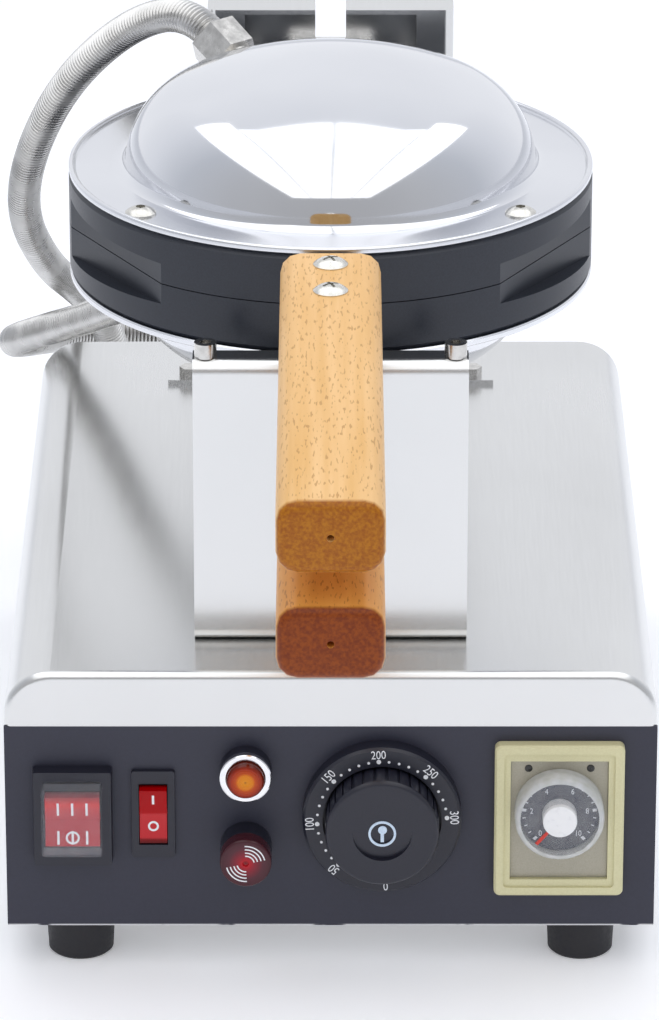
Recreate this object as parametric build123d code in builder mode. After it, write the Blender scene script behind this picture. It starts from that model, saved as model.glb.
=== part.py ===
from build123d import *
import os
from math import atan2, cos, degrees, radians, sin, sqrt, tan

os.makedirs("parts", exist_ok=True)

# Round bubble-waffle maker with two hinged pans that flip over on a rear shaft.
# Millimetres, +Z up, front towards -Y. The origin is on the table, under the middle of the machine.

# Base housing
base_width = 250
base_depth = 356
base_height = 106.5
sheet = 1.2
side_bend = 18
fold_radius = 3
foot_height = 18
panel_height = 84.5
panel_sheet = 1.5
fit_gap = 0.3
shaft_fit = 0.05
hole_gap = fit_gap / 3
small_break = 0.8
edge_break = 1.2
hex_sides = 6

# Pans and flip axis
pan_radius = 103
pan_thickness = 20
pan_setback = 149.4
parting_gap = 0.4
axis_height = 257
hinge_reach = 20
handle_reach = 230
handle_start = 13
rear_gland_length = 22

front_y = handle_reach - (handle_reach + base_depth + rear_gland_length) / 2
rear_y = front_y + base_depth
deck_z = foot_height + base_height
pan_y = front_y + pan_setback
pin_y = pan_y + pan_radius + hinge_reach
pan_back_z = axis_height + pan_thickness
parting = Plane.XY.offset(axis_height)


def facing(y):
    """Plane seen from the front, at depth y."""
    return Plane(origin=(0, y, 0), x_dir=(1, 0, 0), z_dir=(0, -1, 0))


def keep(piece, name):
    """Label a finished piece and write its file."""
    piece.label = name
    export_step(piece, f"parts/{name}.step")


# Rear glands and cord gland, as places on the rear wall
conduit_radius = 7
conduit_bore = 5
upper_outlet = (-88, 42)
lower_outlet = (10, 88)
cord_outlet = (88, 50)
stub_radius = 6.5
nut_flats = 19
nut_length = 14
lock_nut = 5
stub_end = 3
hose_collar = 8
cord_collar = 7

# Housing: folded shell with broad side bends, open below and behind the control panel
side_flange = 12
bolt_radius = 2.5
bracket_width = 104.8
bracket_sheet = 2
bracket_setback = 30.5
bracket_foot = 26
bracket_bolt_spacing = 60
bracket_y = front_y + bracket_setback
bracket_bolt_y = bracket_y + bracket_foot / 2 + bracket_sheet
stand_width = 102
stand_depth = 20
stand_sheet = 2
stand_setback = 26.1
stand_y = pin_y + stand_setback
stand_tab = 18
stand_bolt_x = stand_width / 2 + stand_tab / 2
vent_length = 40
vent_width = 4
vent_pitch = 10
vent_rows = 6

with BuildPart() as housing:
    with BuildSketch(facing(front_y)):
        with Locations((0, foot_height)):
            Rectangle(base_width, base_height, align=(Align.CENTER, Align.MIN))
        fillet(vertices().group_by(Axis.Y)[-1], side_bend)
    extrude(amount=-base_depth)
    rims = faces().sort_by(Axis.Y)[0].edges() + faces().sort_by(Axis.Y)[-1].edges()
    fillet(rims.filter_by(lambda e: e.center().Z > foot_height + fit_gap), fold_radius)
    offset(amount=-sheet, openings=faces().sort_by(Axis.Z)[0])
    with BuildSketch(facing(front_y)):
        with Locations((0, foot_height)):
            Rectangle(base_width, panel_height, align=(Align.CENTER, Align.MIN))
    extrude(amount=-(panel_sheet + hole_gap), mode=Mode.SUBTRACT)
    with BuildSketch(facing(front_y)):
        with Locations((0, foot_height)):
            Rectangle(
                base_width - 2 * side_flange,
                panel_height - sheet,
                align=(Align.CENTER, Align.MIN),
            )
    extrude(amount=-2 * fold_radius, mode=Mode.SUBTRACT)
    with BuildSketch(facing(rear_y)):
        with Locations(upper_outlet, lower_outlet, cord_outlet):
            Circle(stub_radius + fit_gap)
    extrude(amount=2 * fold_radius, mode=Mode.SUBTRACT)
    with BuildSketch(Plane.XY.offset(deck_z)):
        with Locations((0, bracket_bolt_y)):
            with GridLocations(bracket_bolt_spacing, 0, 2, 1):
                Circle(bolt_radius + fit_gap)
        with Locations((0, stand_y + stand_depth / 2)):
            with GridLocations(2 * stand_bolt_x, 0, 2, 1):
                Circle(bolt_radius + fit_gap)
    extrude(amount=-2 * sheet, mode=Mode.SUBTRACT)
keep(housing.part, "housing")

# Bottom plate: a shallow tray with vent slots, spot-welded lips and a hole over each foot
tray_gap = fit_gap
tray_lip = 12
tray_front = front_y + panel_sheet + 2 * fit_gap
tray_width = base_width - 2 * (sheet + tray_gap)
tray_depth = rear_y - sheet - tray_gap - tray_front
tray_y = tray_front + tray_depth / 2
foot_radius = 13.5
foot_inset = 18.5
foot_x = base_width / 2 - 27.6
foot_y_front = front_y + foot_inset
foot_y_rear = rear_y - foot_inset
foot_places = [(x, y) for x in (-foot_x, foot_x) for y in (foot_y_front, foot_y_rear)]
foot_screw_radius = 2.5
foot_taper = 3

with BuildPart() as bottom_plate:
    with BuildSketch(Plane.XY.offset(foot_height)):
        with Locations((0, tray_y)):
            Rectangle(tray_width, tray_depth)
    extrude(amount=tray_lip)
    fillet(bottom_plate.edges().filter_by(Axis.Z), fold_radius)
    offset(amount=-sheet, openings=faces().sort_by(Axis.Z)[-1])
    with BuildSketch(Plane.XY.offset(foot_height)):
        with Locations((0, tray_y)):
            with GridLocations(0, vent_pitch, 1, vent_rows):
                SlotOverall(vent_length, vent_width)
        with Locations(*foot_places):
            Circle(foot_screw_radius + hole_gap)
    extrude(amount=2 * sheet, mode=Mode.SUBTRACT)
keep(bottom_plate.part, "bottom_plate")

# Rubber feet: tapered, with a counterbore for the screw head
foot_screw_head = 4.5
foot_bore_depth = 8
with BuildPart() as feet:
    with BuildSketch(Plane.XY.offset(foot_height)):
        with Locations(*foot_places):
            Circle(foot_radius)
    extrude(amount=-foot_height, taper=foot_taper)
    chamfer(feet.edges().group_by(Axis.Z)[0], 1)
    with Locations(*[(x, y, 0) for x, y in foot_places]):
        with Locations(Rotation(180, 0, 0)):
            CounterBoreHole(
                foot_screw_radius + hole_gap,
                foot_screw_head + fit_gap,
                foot_bore_depth,
                foot_height,
            )
keep(feet.part, "feet")

foot_screw_stub = 4
foot_screw_cap = 3
with BuildPart() as foot_screws:
    with BuildSketch(Plane.XY.offset(foot_bore_depth)):
        with Locations(*foot_places):
            Circle(foot_screw_head)
    extrude(amount=-foot_screw_cap)
    with BuildSketch(Plane.XY.offset(foot_bore_depth)):
        with Locations(*foot_places):
            Circle(foot_screw_radius)
    extrude(amount=foot_height - foot_bore_depth + sheet + foot_screw_stub)
keep(foot_screws.part, "foot_screws")

# Control panel: full-width plate with a cut-out for each control
panel_width = base_width
power_inset = 26
power_x = power_inset - base_width / 2
power_z = 66
power_width = 30.6
power_height = 40
alarm_spacing = 30.9
alarm_x = power_x + alarm_spacing
alarm_z = 66.2
alarm_width = 16.8
alarm_height = 36.6
body_margin = 1.8
dial_share = 0.0788
dial_x = dial_share * base_width
lamp_spacing = 52.2
lamp_x = dial_x - lamp_spacing
lamp_z = 84.5
buzzer_z = 52.4
lamp_radius = 9.9
lamp_stem = 7.5
dial_z = 66.3
dial_radius = 30.5
shaft_radius = 3
timer_inset = 37.3
timer_x = base_width / 2 - timer_inset
timer_z = 64.6
timer_width = 49.7
timer_height = 63.4
timer_margin = 2

with BuildPart() as control_panel:
    with BuildSketch(facing(front_y)):
        with Locations((0, foot_height)):
            Rectangle(panel_width, panel_height - hole_gap, align=(Align.CENTER, Align.MIN))
        with Locations((power_x, power_z)):
            Rectangle(
                power_width - 2 * body_margin + fit_gap,
                power_height - 2 * body_margin + fit_gap,
                mode=Mode.SUBTRACT,
            )
        with Locations((alarm_x, alarm_z)):
            Rectangle(
                alarm_width - 2 * body_margin + fit_gap,
                alarm_height - 2 * body_margin + fit_gap,
                mode=Mode.SUBTRACT,
            )
        with Locations((lamp_x, lamp_z), (lamp_x, buzzer_z)):
            Circle(lamp_stem + fit_gap / 2, mode=Mode.SUBTRACT)
        with Locations((dial_x, dial_z)):
            Circle(shaft_radius + 1, mode=Mode.SUBTRACT)
        with Locations((timer_x, timer_z)):
            Rectangle(
                timer_width - 2 * timer_margin + fit_gap,
                timer_height - 2 * timer_margin + fit_gap,
                mode=Mode.SUBTRACT,
            )
    extrude(amount=-panel_sheet)
keep(control_panel.part, "control_panel")

# Rocker switches: a frame with a recess, and a rocker that tilts on its trunnions
alarm_lip = 2
power_lip = 6
frame_corner = 1.2
frame_taper = 4
recess_gap = 2
rocker_play = 0.3
trunnion_radius = 1.5
trunnion_length = 1.2
rocker_tilt = 7
rocker_nose = 4.5
rocker_depth = 5
rocker_hollow = 0.6
rocker_seat = 3.25
switch_body = 20


def rocker_frame(x, z, width, height, lip, rocker_width, rocker_height):
    """Bezel and body of a rocker switch, with its recess and trunnion holes."""
    pivot_y = front_y - lip + rocker_seat
    reach = sqrt((rocker_height / 2) ** 2 + rocker_nose**2)
    with BuildPart() as frame:
        with BuildSketch(facing(front_y)):
            with Locations((x, z)):
                RectangleRounded(width, height, frame_corner)
        extrude(amount=lip, taper=frame_taper)
        with BuildSketch(facing(front_y)):
            with Locations((x, z)):
                Rectangle(width - 2 * body_margin, height - 2 * body_margin)
        extrude(amount=-switch_body)
        with BuildSketch(facing(front_y - lip)):
            with Locations((x, z)):
                Rectangle(rocker_width + 2 * rocker_play, 2 * (reach + rocker_play))
        extrude(amount=-(alarm_lip + rocker_depth + recess_gap), mode=Mode.SUBTRACT)
        with BuildSketch(Plane.YZ.offset(x)):
            with Locations((pivot_y, z)):
                Circle(trunnion_radius + shaft_fit)
        half = rocker_width / 2 + trunnion_length + rocker_play
        extrude(amount=half, both=True, mode=Mode.SUBTRACT)
    return frame.part


def rocker(x, z, lip, rocker_width, rocker_height):
    """Rocker with a shallow V front, resting with its lower half pressed in."""
    pivot_y = front_y - lip + rocker_seat
    half_height = rocker_height / 2
    tilt = radians(rocker_tilt)
    tilted = Plane(origin=(x, pivot_y, z), x_dir=(0, cos(tilt), sin(tilt)), z_dir=(1, 0, 0))
    with BuildPart() as body:
        with BuildSketch(tilted):
            with BuildLine():
                Polyline(
                    (-rocker_nose, half_height),
                    (-rocker_nose * rocker_hollow, 0),
                    (-rocker_nose, -half_height),
                    (0, -half_height),
                    (rocker_depth / 2, -half_height / 2),
                    (rocker_depth / 2, half_height / 2),
                    (0, half_height),
                    close=True,
                )
            make_face()
        extrude(amount=rocker_width / 2, both=True)
        with BuildSketch(Plane.YZ.offset(x)):
            with Locations((pivot_y, z)):
                Circle(trunnion_radius)
        extrude(amount=rocker_width / 2 + trunnion_length, both=True)
    return body.part


power_rocker_width = 21
power_rocker_height = 22
alarm_rocker_width = 10.5
alarm_rocker_height = 23.5
power_frame = rocker_frame(
    power_x, power_z, power_width, power_height, power_lip, power_rocker_width, power_rocker_height
)
keep(power_frame, "power_switch_frame")
keep(rocker(power_x, power_z, power_lip, power_rocker_width, power_rocker_height), "power_rocker")
alarm_frame = rocker_frame(
    alarm_x, alarm_z, alarm_width, alarm_height, alarm_lip, alarm_rocker_width, alarm_rocker_height
)
keep(alarm_frame, "alarm_switch_frame")
keep(rocker(alarm_x, alarm_z, alarm_lip, alarm_rocker_width, alarm_rocker_height), "alarm_rocker")

# Clear splash cover over the power rocker
splash_rise = 1.7
splash_z = power_z + splash_rise
splash_width = 23.4
splash_height = 28.4
splash_depth = 8
splash_wall = 0.9
splash_corner = 1.5
with BuildPart() as splash_cover:
    with BuildSketch(facing(front_y - power_lip)):
        with Locations((power_x, splash_z)):
            RectangleRounded(splash_width, splash_height, splash_corner)
    extrude(amount=splash_depth)
    fillet(splash_cover.faces().sort_by(Axis.Y)[0].edges(), 1)
    with BuildSketch(facing(front_y - power_lip)):
        with Locations((power_x, splash_z)):
            Rectangle(splash_width - 2 * splash_wall, splash_height - 2 * splash_wall)
    extrude(amount=splash_depth - splash_wall, mode=Mode.SUBTRACT)
keep(splash_cover.part, "splash_cover")

# Pilot lamp: chrome ring with a threaded stem, and an amber lens
lamp_ring_depth = 9
lens_radius = 7.2
lens_rise = 3.6
lens_dome = 1.2
lens_seat = 4
lamp_stem_length = 22
with BuildPart() as pilot_ring:
    with BuildSketch(facing(front_y)):
        with Locations((lamp_x, lamp_z)):
            Circle(lamp_radius)
    extrude(amount=lamp_ring_depth)
    chamfer(pilot_ring.faces().sort_by(Axis.Y)[0].edges(), 1)
    with BuildSketch(facing(front_y)):
        with Locations((lamp_x, lamp_z)):
            Circle(lamp_stem)
    extrude(amount=-lamp_stem_length)
    with BuildSketch(facing(front_y - lamp_ring_depth)):
        with Locations((lamp_x, lamp_z)):
            Circle(lens_radius + hole_gap)
    extrude(amount=-lens_seat, mode=Mode.SUBTRACT)
keep(pilot_ring.part, "pilot_ring")

with BuildPart() as pilot_lens:
    with BuildSketch(facing(front_y - lamp_ring_depth + lens_seat)):
        with Locations((lamp_x, lamp_z)):
            Circle(lens_radius)
    extrude(amount=lens_seat + lens_rise)
    chamfer(pilot_lens.faces().sort_by(Axis.Y)[0].edges(), lens_dome, 2 * lens_dome)
keep(pilot_lens.part, "pilot_lens")

# Alarm buzzer: black collar and red cap
buzzer_collar = 10
buzzer_cap_depth = 7
with BuildPart() as buzzer_body:
    with BuildSketch(facing(front_y)):
        with Locations((lamp_x, buzzer_z)):
            Circle(lamp_radius)
    extrude(amount=buzzer_collar)
    with BuildSketch(facing(front_y)):
        with Locations((lamp_x, buzzer_z)):
            Circle(lamp_stem)
    extrude(amount=-lamp_stem_length)
keep(buzzer_body.part, "buzzer_body")

with BuildPart() as buzzer_cap:
    with BuildSketch(facing(front_y - buzzer_collar)):
        with Locations((lamp_x, buzzer_z)):
            Circle(lamp_radius)
    extrude(amount=buzzer_cap_depth)
    chamfer(buzzer_cap.faces().sort_by(Axis.Y)[0].edges(), edge_break)
keep(buzzer_cap.part, "buzzer_cap")

# Thermostat: dial plate, body with its shaft, and the knob
dial_plate_depth = 8
dial_rim = 1
dial_floor = 3.4
thermostat_size = 40
thermostat_depth = 26
thermostat_corner = 3
knob_radius = 21.8
knob_depth = 16
knob_gap = 0.5
knob_bore_depth = 8
dial_well = knob_radius + 2 * knob_gap
shaft_reach = dial_floor + knob_gap + knob_bore_depth - 1
dish_radius = 10.5
dish_depth = 1.2
with BuildPart() as dial_plate:
    with BuildSketch(facing(front_y)):
        with Locations((dial_x, dial_z)):
            Circle(dial_radius)
            Circle(shaft_radius + 1, mode=Mode.SUBTRACT)
    extrude(amount=dial_plate_depth)
    chamfer(dial_plate.faces().sort_by(Axis.Y)[0].edges().sort_by(SortBy.LENGTH)[-1], dial_rim)
    with BuildSketch(facing(front_y - dial_plate_depth)):
        with Locations((dial_x, dial_z)):
            Circle(dial_well)
    extrude(amount=dial_floor - dial_plate_depth, mode=Mode.SUBTRACT)
keep(dial_plate.part, "dial_plate")

with BuildPart() as thermostat:
    with BuildSketch(facing(front_y + panel_sheet)):
        with Locations((dial_x, dial_z)):
            RectangleRounded(thermostat_size, thermostat_size, thermostat_corner)
    extrude(amount=-thermostat_depth)
    with BuildSketch(facing(front_y + panel_sheet)):
        with Locations((dial_x, dial_z)):
            Circle(shaft_radius)
    extrude(amount=panel_sheet + shaft_reach)
keep(thermostat.part, "thermostat")

with BuildPart() as thermostat_knob:
    with BuildSketch(facing(front_y - dial_floor - knob_gap)):
        with Locations((dial_x, dial_z)):
            Circle(knob_radius)
    extrude(amount=knob_depth)
    chamfer(thermostat_knob.faces().sort_by(Axis.Y)[0].edges(), edge_break)
    dish_sphere = (dish_radius**2 + dish_depth**2) / (2 * dish_depth)
    knob_face_y = front_y - dial_floor - knob_gap - knob_depth
    with Locations((dial_x, knob_face_y + dish_depth - dish_sphere, dial_z)):
        Sphere(dish_sphere, mode=Mode.SUBTRACT)
    with BuildSketch(facing(front_y - dial_floor - knob_gap)):
        with Locations((dial_x, dial_z)):
            Circle(shaft_radius + shaft_fit)
    extrude(amount=knob_bore_depth, mode=Mode.SUBTRACT)
keep(thermostat_knob.part, "thermostat_knob")

# Timer: stepped frame with its body, face plate, and a knob with a clear skirt
timer_frame_depth = 5
timer_step = 3.6
timer_corner = 2.5
timer_ledge = 0.9
timer_ledge_corner = 1.5
timer_spindle = 6
timer_face_width = 37.5
timer_face_height = 50
timer_recess = 2.8
timer_face_sheet = 1
timer_body_depth = 60
timer_hole_radius = 2.5
skirt_radius = 17.3
skirt_depth = 9.4
skirt_wall = 1
timer_knob_radius = 6.6
timer_knob_depth = 11.2
timer_dial_rise = 3.8
timer_dial_z = timer_z + timer_dial_rise
with BuildPart() as timer_frame:
    with BuildSketch(facing(front_y)):
        with Locations((timer_x, timer_z)):
            RectangleRounded(timer_width, timer_height, timer_corner)
    extrude(amount=timer_frame_depth)
    chamfer(timer_frame.faces().sort_by(Axis.Y)[0].edges(), small_break)
    with BuildSketch(facing(front_y - timer_frame_depth)):
        with Locations((timer_x, timer_z)):
            RectangleRounded(
                timer_width - 2 * timer_step,
                timer_height - 2 * timer_step,
                timer_ledge_corner,
            )
            Rectangle(timer_face_width, timer_face_height, mode=Mode.SUBTRACT)
    extrude(amount=-timer_ledge, mode=Mode.SUBTRACT)
    with BuildSketch(facing(front_y)):
        with Locations((timer_x, timer_z)):
            Rectangle(timer_width - 2 * timer_margin, timer_height - 2 * timer_margin)
    extrude(amount=-timer_body_depth)
    with BuildSketch(facing(front_y - timer_frame_depth)):
        with Locations((timer_x, timer_z)):
            Rectangle(timer_face_width, timer_face_height)
    extrude(amount=-timer_recess - timer_face_sheet, mode=Mode.SUBTRACT)
    with BuildSketch(facing(front_y - timer_frame_depth + timer_recess + timer_face_sheet)):
        with Locations((timer_x, timer_dial_z)):
            Circle(timer_hole_radius + shaft_fit)
    extrude(amount=-(timer_spindle + recess_gap), mode=Mode.SUBTRACT)
keep(timer_frame.part, "timer_frame")

timer_face_y = front_y - timer_frame_depth + timer_recess
with BuildPart() as timer_face:
    with BuildSketch(facing(timer_face_y)):
        with Locations((timer_x, timer_z)):
            Rectangle(timer_face_width - fit_gap, timer_face_height - fit_gap)
        with Locations((timer_x, timer_dial_z)):
            Circle(timer_hole_radius + shaft_fit, mode=Mode.SUBTRACT)
    extrude(amount=-timer_face_sheet)
keep(timer_face.part, "timer_face")

with BuildPart() as timer_skirt:
    with BuildSketch(facing(timer_face_y - fit_gap)):
        with Locations((timer_x, timer_dial_z)):
            Circle(skirt_radius)
    extrude(amount=skirt_depth)
    chamfer(timer_skirt.faces().sort_by(Axis.Y)[0].edges(), edge_break)
    offset(amount=-skirt_wall, openings=timer_skirt.faces().sort_by(Axis.Y)[-1])
    with BuildSketch(facing(timer_face_y)):
        with Locations((timer_x, timer_dial_z)):
            Circle(timer_knob_radius)
    extrude(amount=2 * skirt_depth, mode=Mode.SUBTRACT)
keep(timer_skirt.part, "timer_skirt")

with BuildPart() as timer_knob:
    with BuildSketch(facing(timer_face_y - fit_gap)):
        with Locations((timer_x, timer_dial_z)):
            Circle(timer_knob_radius)
    extrude(amount=timer_knob_depth)
    chamfer(timer_knob.faces().sort_by(Axis.Y)[0].edges(), small_break)
    with BuildSketch(facing(timer_face_y - fit_gap)):
        with Locations((timer_x, timer_dial_z)):
            Circle(timer_hole_radius)
    extrude(amount=-(timer_face_sheet + fit_gap + timer_spindle))
keep(timer_knob.part, "timer_knob")

# Terminal block on the bottom plate
terminal_size = (60, 22, 18)
terminal_count = 4
terminal_pitch = 13
terminal_setback = 70
terminal_hole = 2.5
terminal_hole_depth = 8
with BuildPart() as terminal_block:
    with Locations((0, rear_y - terminal_setback, foot_height + sheet)):
        Box(*terminal_size, align=(Align.CENTER, Align.CENTER, Align.MIN))
    with Locations((0, rear_y - terminal_setback, foot_height + sheet + terminal_size[2])):
        with GridLocations(terminal_pitch, terminal_size[1] / 2, terminal_count, 2):
            Hole(terminal_hole, depth=terminal_hole_depth)
keep(terminal_block.part, "terminal_block")

# Glands on the rear wall: hex nut outside, stub through the wall, lock nut inside
def wall_gland(place, length, flats, bore, end_radius):
    """Hex gland on the rear wall at (x, z), with its stub and lock nut."""
    with BuildPart() as gland:
        with BuildSketch(facing(rear_y)):
            with Locations(place):
                RegularPolygon(flats / 2, hex_sides, major_radius=False)
        extrude(amount=-nut_length)
        with BuildSketch(facing(rear_y + nut_length)):
            with Locations(place):
                Circle(end_radius)
        extrude(amount=-(length - nut_length))
        with BuildSketch(facing(rear_y)):
            with Locations(place):
                Circle(stub_radius)
        extrude(amount=sheet + lock_nut + stub_end)
        with BuildSketch(facing(rear_y - sheet)):
            with Locations(place):
                RegularPolygon(flats / 2, hex_sides, major_radius=False)
        extrude(amount=lock_nut)
        with BuildSketch(facing(rear_y + length)):
            with Locations(place):
                Circle(bore)
        extrude(amount=length + sheet + lock_nut + stub_end, mode=Mode.SUBTRACT)
    return gland.part


cord_bore = 3.6
keep(wall_gland(upper_outlet, rear_gland_length, nut_flats, conduit_bore, hose_collar), "upper_hose_outlet")
keep(wall_gland(lower_outlet, rear_gland_length, nut_flats, conduit_bore, hose_collar), "lower_hose_outlet")
keep(wall_gland(cord_outlet, rear_gland_length, nut_flats, cord_bore, cord_collar), "cord_gland")

# Pan castings: bubble cells inside, chordal pry pockets at the parting line, half-round neck and tang
cell_radius = 13
cell_pitch = 29
cell_field = 77
cook_radius = 92
cook_recess = 1.5
neck_radius = 17
neck_start = 3
tang_width = 20
tang_thickness = 8
tang_length = 55
tang_offset = 9
back_edge = 2
pocket_depth = 6.8
pocket_angle = 30
pocket_half = 40
pocket_front = 8
pocket_rear = 12
groove_radius = 4.3
heater_radius = 64
heater_tube = 4.2
heater_seat = 2
heater_sweep = 320
knuckle_radius = 9.5
knuckle_width = 10
knuckle_root = 4
side_gap = 0.3
pin_radius = 5
handle_y = front_y + handle_start
neck_front = handle_y + fit_gap
neck_length = pan_y - neck_front
neck_flare = 4
neck_flare_turn = 70
neck_flare_y = pan_y - sqrt((pan_radius + neck_flare) ** 2 - (neck_radius + neck_flare) ** 2)


def cell_places():
    """Centres of the bubble cells, on a hexagonal pattern about the pan's middle."""
    places = []
    row_height = cell_pitch * sqrt(3) / 2
    rows = int(cell_field // row_height)
    for row in range(-rows, rows + 1):
        shift = cell_pitch / 2 if row % 2 else 0
        for column in range(-rows - 1, rows + 2):
            x = column * cell_pitch + shift
            y = row * row_height
            if sqrt(x**2 + y**2) <= cell_field:
                places.append((x, pan_y + y))
    return places


def pan_casting(knuckle_inner):
    """Upper pan casting, parting face down, with a pair of knuckles that starts at knuckle_inner."""
    face_z = axis_height + parting_gap / 2
    with BuildPart() as pan:
        with BuildSketch(Plane.XY.offset(axis_height)):
            with BuildLine():
                flare = CenterArc(
                    (neck_radius + neck_flare, neck_flare_y), neck_flare, 180, -neck_flare_turn
                )
                Polyline(
                    flare @ 0,
                    (neck_radius, neck_front),
                    (0, neck_front),
                    (0, pan_y - cook_radius - neck_start),
                    (neck_radius, pan_y - cook_radius - neck_start),
                    flare @ 1,
                )
            make_face()
        revolve(axis=Axis((0, 0, axis_height), (0, -1, 0)), revolution_arc=180)
        with BuildSketch(Plane.XY.offset(axis_height)):
            with Locations((0, neck_front)):
                Rectangle(4 * neck_radius, 2 * neck_length, align=(Align.CENTER, Align.CENTER))
        extrude(amount=parting_gap / 2, mode=Mode.SUBTRACT)
        with BuildSketch(Plane.XY.offset(face_z)):
            with Locations((0, pan_y)):
                Circle(pan_radius)
        extrude(amount=pan_back_z - face_z)
        chamfer(pan.edges().group_by(Axis.Z)[-1], back_edge)
        with BuildSketch(Plane.XY.offset(face_z + tang_offset)):
            with Locations((0, neck_front + neck_start)):
                Rectangle(tang_width, tang_length + neck_start, align=(Align.CENTER, Align.MAX))
        extrude(amount=tang_thickness)
        for side in (-1, 1):
            inner = side * knuckle_inner
            with BuildSketch(Plane.YZ.offset(inner)):
                with Locations((pin_y, axis_height)):
                    Circle(knuckle_radius)
                with BuildLine():
                    Polyline(
                        (pan_y + cook_radius, face_z),
                        (pin_y, face_z),
                        (pin_y, axis_height + knuckle_radius),
                        (pan_y + pan_radius - knuckle_root, pan_back_z - back_edge - 1),
                        (pan_y + cook_radius, pan_back_z - back_edge - 1),
                        close=True,
                    )
                make_face()
                with Locations((pin_y, axis_height)):
                    Circle(pin_radius + shaft_fit, mode=Mode.SUBTRACT)
            extrude(amount=side * knuckle_width)
        with BuildSketch(Plane.XY.offset(face_z)):
            with Locations((0, pan_y)):
                Circle(cook_radius)
        extrude(amount=cook_recess, mode=Mode.SUBTRACT)
        with Locations(*[(x, y, face_z + cook_recess) for x, y in cell_places()]):
            Sphere(cell_radius, mode=Mode.SUBTRACT)
        for side in (-1, 1):
            turn = radians(pocket_angle)
            outward = Vector(side * cos(turn), -sin(turn), 0)
            along = Vector(side * sin(turn), cos(turn), 0)
            flat = Vector(0, pan_y, axis_height) + outward * (pan_radius - pocket_depth)
            with BuildSketch(Plane(origin=flat, x_dir=along, z_dir=outward)) as pocket:
                rise = 1 if pocket.workplanes[0].y_dir.Z > 0 else -1
                with BuildLine():
                    Polyline(
                        (-pocket_half, -rise),
                        (pocket_half, -rise),
                        (pocket_half, rise * pocket_rear),
                        (-pocket_half, rise * pocket_front),
                        close=True,
                    )
                make_face()
            extrude(amount=2 * pocket_depth, mode=Mode.SUBTRACT)
        with BuildSketch(Plane.XZ.offset(-pan_y)):
            with Locations((heater_radius, pan_back_z + heater_tube - heater_seat)):
                Circle(groove_radius)
        revolve(axis=Axis((0, pan_y, 0), (0, 0, 1)), mode=Mode.SUBTRACT)
        for screw_y in handle_screw_places:
            with Locations((0, screw_y, face_z + tang_offset + tang_thickness)):
                Hole(handle_screw_radius + fit_gap / 2, depth=tang_thickness + 1)
    return pan.part


# Beech handles: many-sided section, turned end, slot for the tang, two screws
handle_width = 37.5
handle_height = 27
handle_offset = 19.6
handle_z = axis_height + handle_offset
handle_length = handle_reach + handle_start
handle_end_chamfer = 5.5
handle_end_taper = 23
handle_round = 5
handle_top_inset = 4.5
handle_foot_inset = 7
handle_side_half = 3
handle_back_chamfer = 2.4
handle_screw_floor = 3
handle_screw_radius = 2.8
handle_screw_head = 6.5
handle_screw_dome = 3
handle_screw_first = 12
handle_screw_spacing = 28
handle_screw_places = [handle_y - handle_screw_first, handle_y - handle_screw_first - handle_screw_spacing]
pilot_radius = 1.6
pilot_depth = 12


def beech_handle():
    """Upper handle, with its wide flat on top."""
    half_width = handle_width / 2
    half_height = handle_height / 2
    with BuildPart() as handle:
        with BuildSketch(facing(handle_y)) as section:
            with BuildLine():
                Polyline(
                    (-half_width + handle_top_inset, handle_z + half_height),
                    (half_width - handle_top_inset, handle_z + half_height),
                    (half_width, handle_z + handle_side_half),
                    (half_width, handle_z - handle_side_half),
                    (half_width - handle_foot_inset, handle_z - half_height),
                    (-half_width + handle_foot_inset, handle_z - half_height),
                    (-half_width, handle_z - handle_side_half),
                    (-half_width, handle_z + handle_side_half),
                    close=True,
                )
            make_face()
            fillet(section.vertices(), handle_round)
        extrude(amount=handle_length - handle_end_chamfer)
        extrude(handle.faces().sort_by(Axis.Y)[0], amount=handle_end_chamfer, taper=handle_end_taper)
        chamfer(handle.faces().sort_by(Axis.Y)[-1].edges(), handle_back_chamfer)
        slot_z = axis_height + parting_gap / 2 + tang_offset + tang_thickness / 2
        with BuildSketch(facing(handle_y)):
            with Locations((0, slot_z)):
                Rectangle(tang_width + fit_gap, tang_thickness + hole_gap)
        extrude(amount=tang_length + fit_gap, mode=Mode.SUBTRACT)
        for screw_y in handle_screw_places:
            with Locations((0, screw_y, handle_z + half_height)):
                Hole(handle_screw_radius + fit_gap / 2, depth=handle_height - handle_screw_floor)
        with BuildSketch(facing(handle_y - handle_length)):
            with Locations((0, handle_z)):
                Circle(pilot_radius)
        extrude(amount=-pilot_depth, mode=Mode.SUBTRACT)
    return handle.part


def handle_screws():
    """Two pan-head screws through the handle into the tang."""
    top = handle_z + handle_height / 2
    places = [(0, screw_y) for screw_y in handle_screw_places]
    with BuildPart() as screws:
        with BuildSketch(Plane.XY.offset(top)):
            with Locations(*places):
                Circle(handle_screw_head)
        extrude(amount=handle_screw_dome)
        chamfer(screws.edges().group_by(Axis.Z)[-1], handle_screw_dome - 1, handle_screw_dome)
        with BuildSketch(Plane.XY.offset(top)):
            with Locations(*places):
                Circle(handle_screw_radius)
        extrude(amount=-(handle_height - handle_screw_floor - 1))
    return screws.part


# Heaters, insulation and covers, behind each casting
cover_sheet = 1.2
cover_hem = 2.2
dome_radius = 80.8
dome_height = 43
dome_shoulder = 34
dome_fillet = 4
crown_radius = (dome_radius**2 - 2 * dome_radius * dome_shoulder + dome_height**2) / (
    2 * (dome_height - dome_shoulder)
)
flange_top_z = pan_back_z + cover_sheet
heater_z = pan_back_z + heater_tube - heater_seat
heater_top = heater_z + heater_tube
insulation_radius = 72
insulation_thickness = 12
terminal_radius = 2.2
terminal_rise = insulation_thickness + 3
terminal_inset = 6
terminal_gap = 0.5


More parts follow.
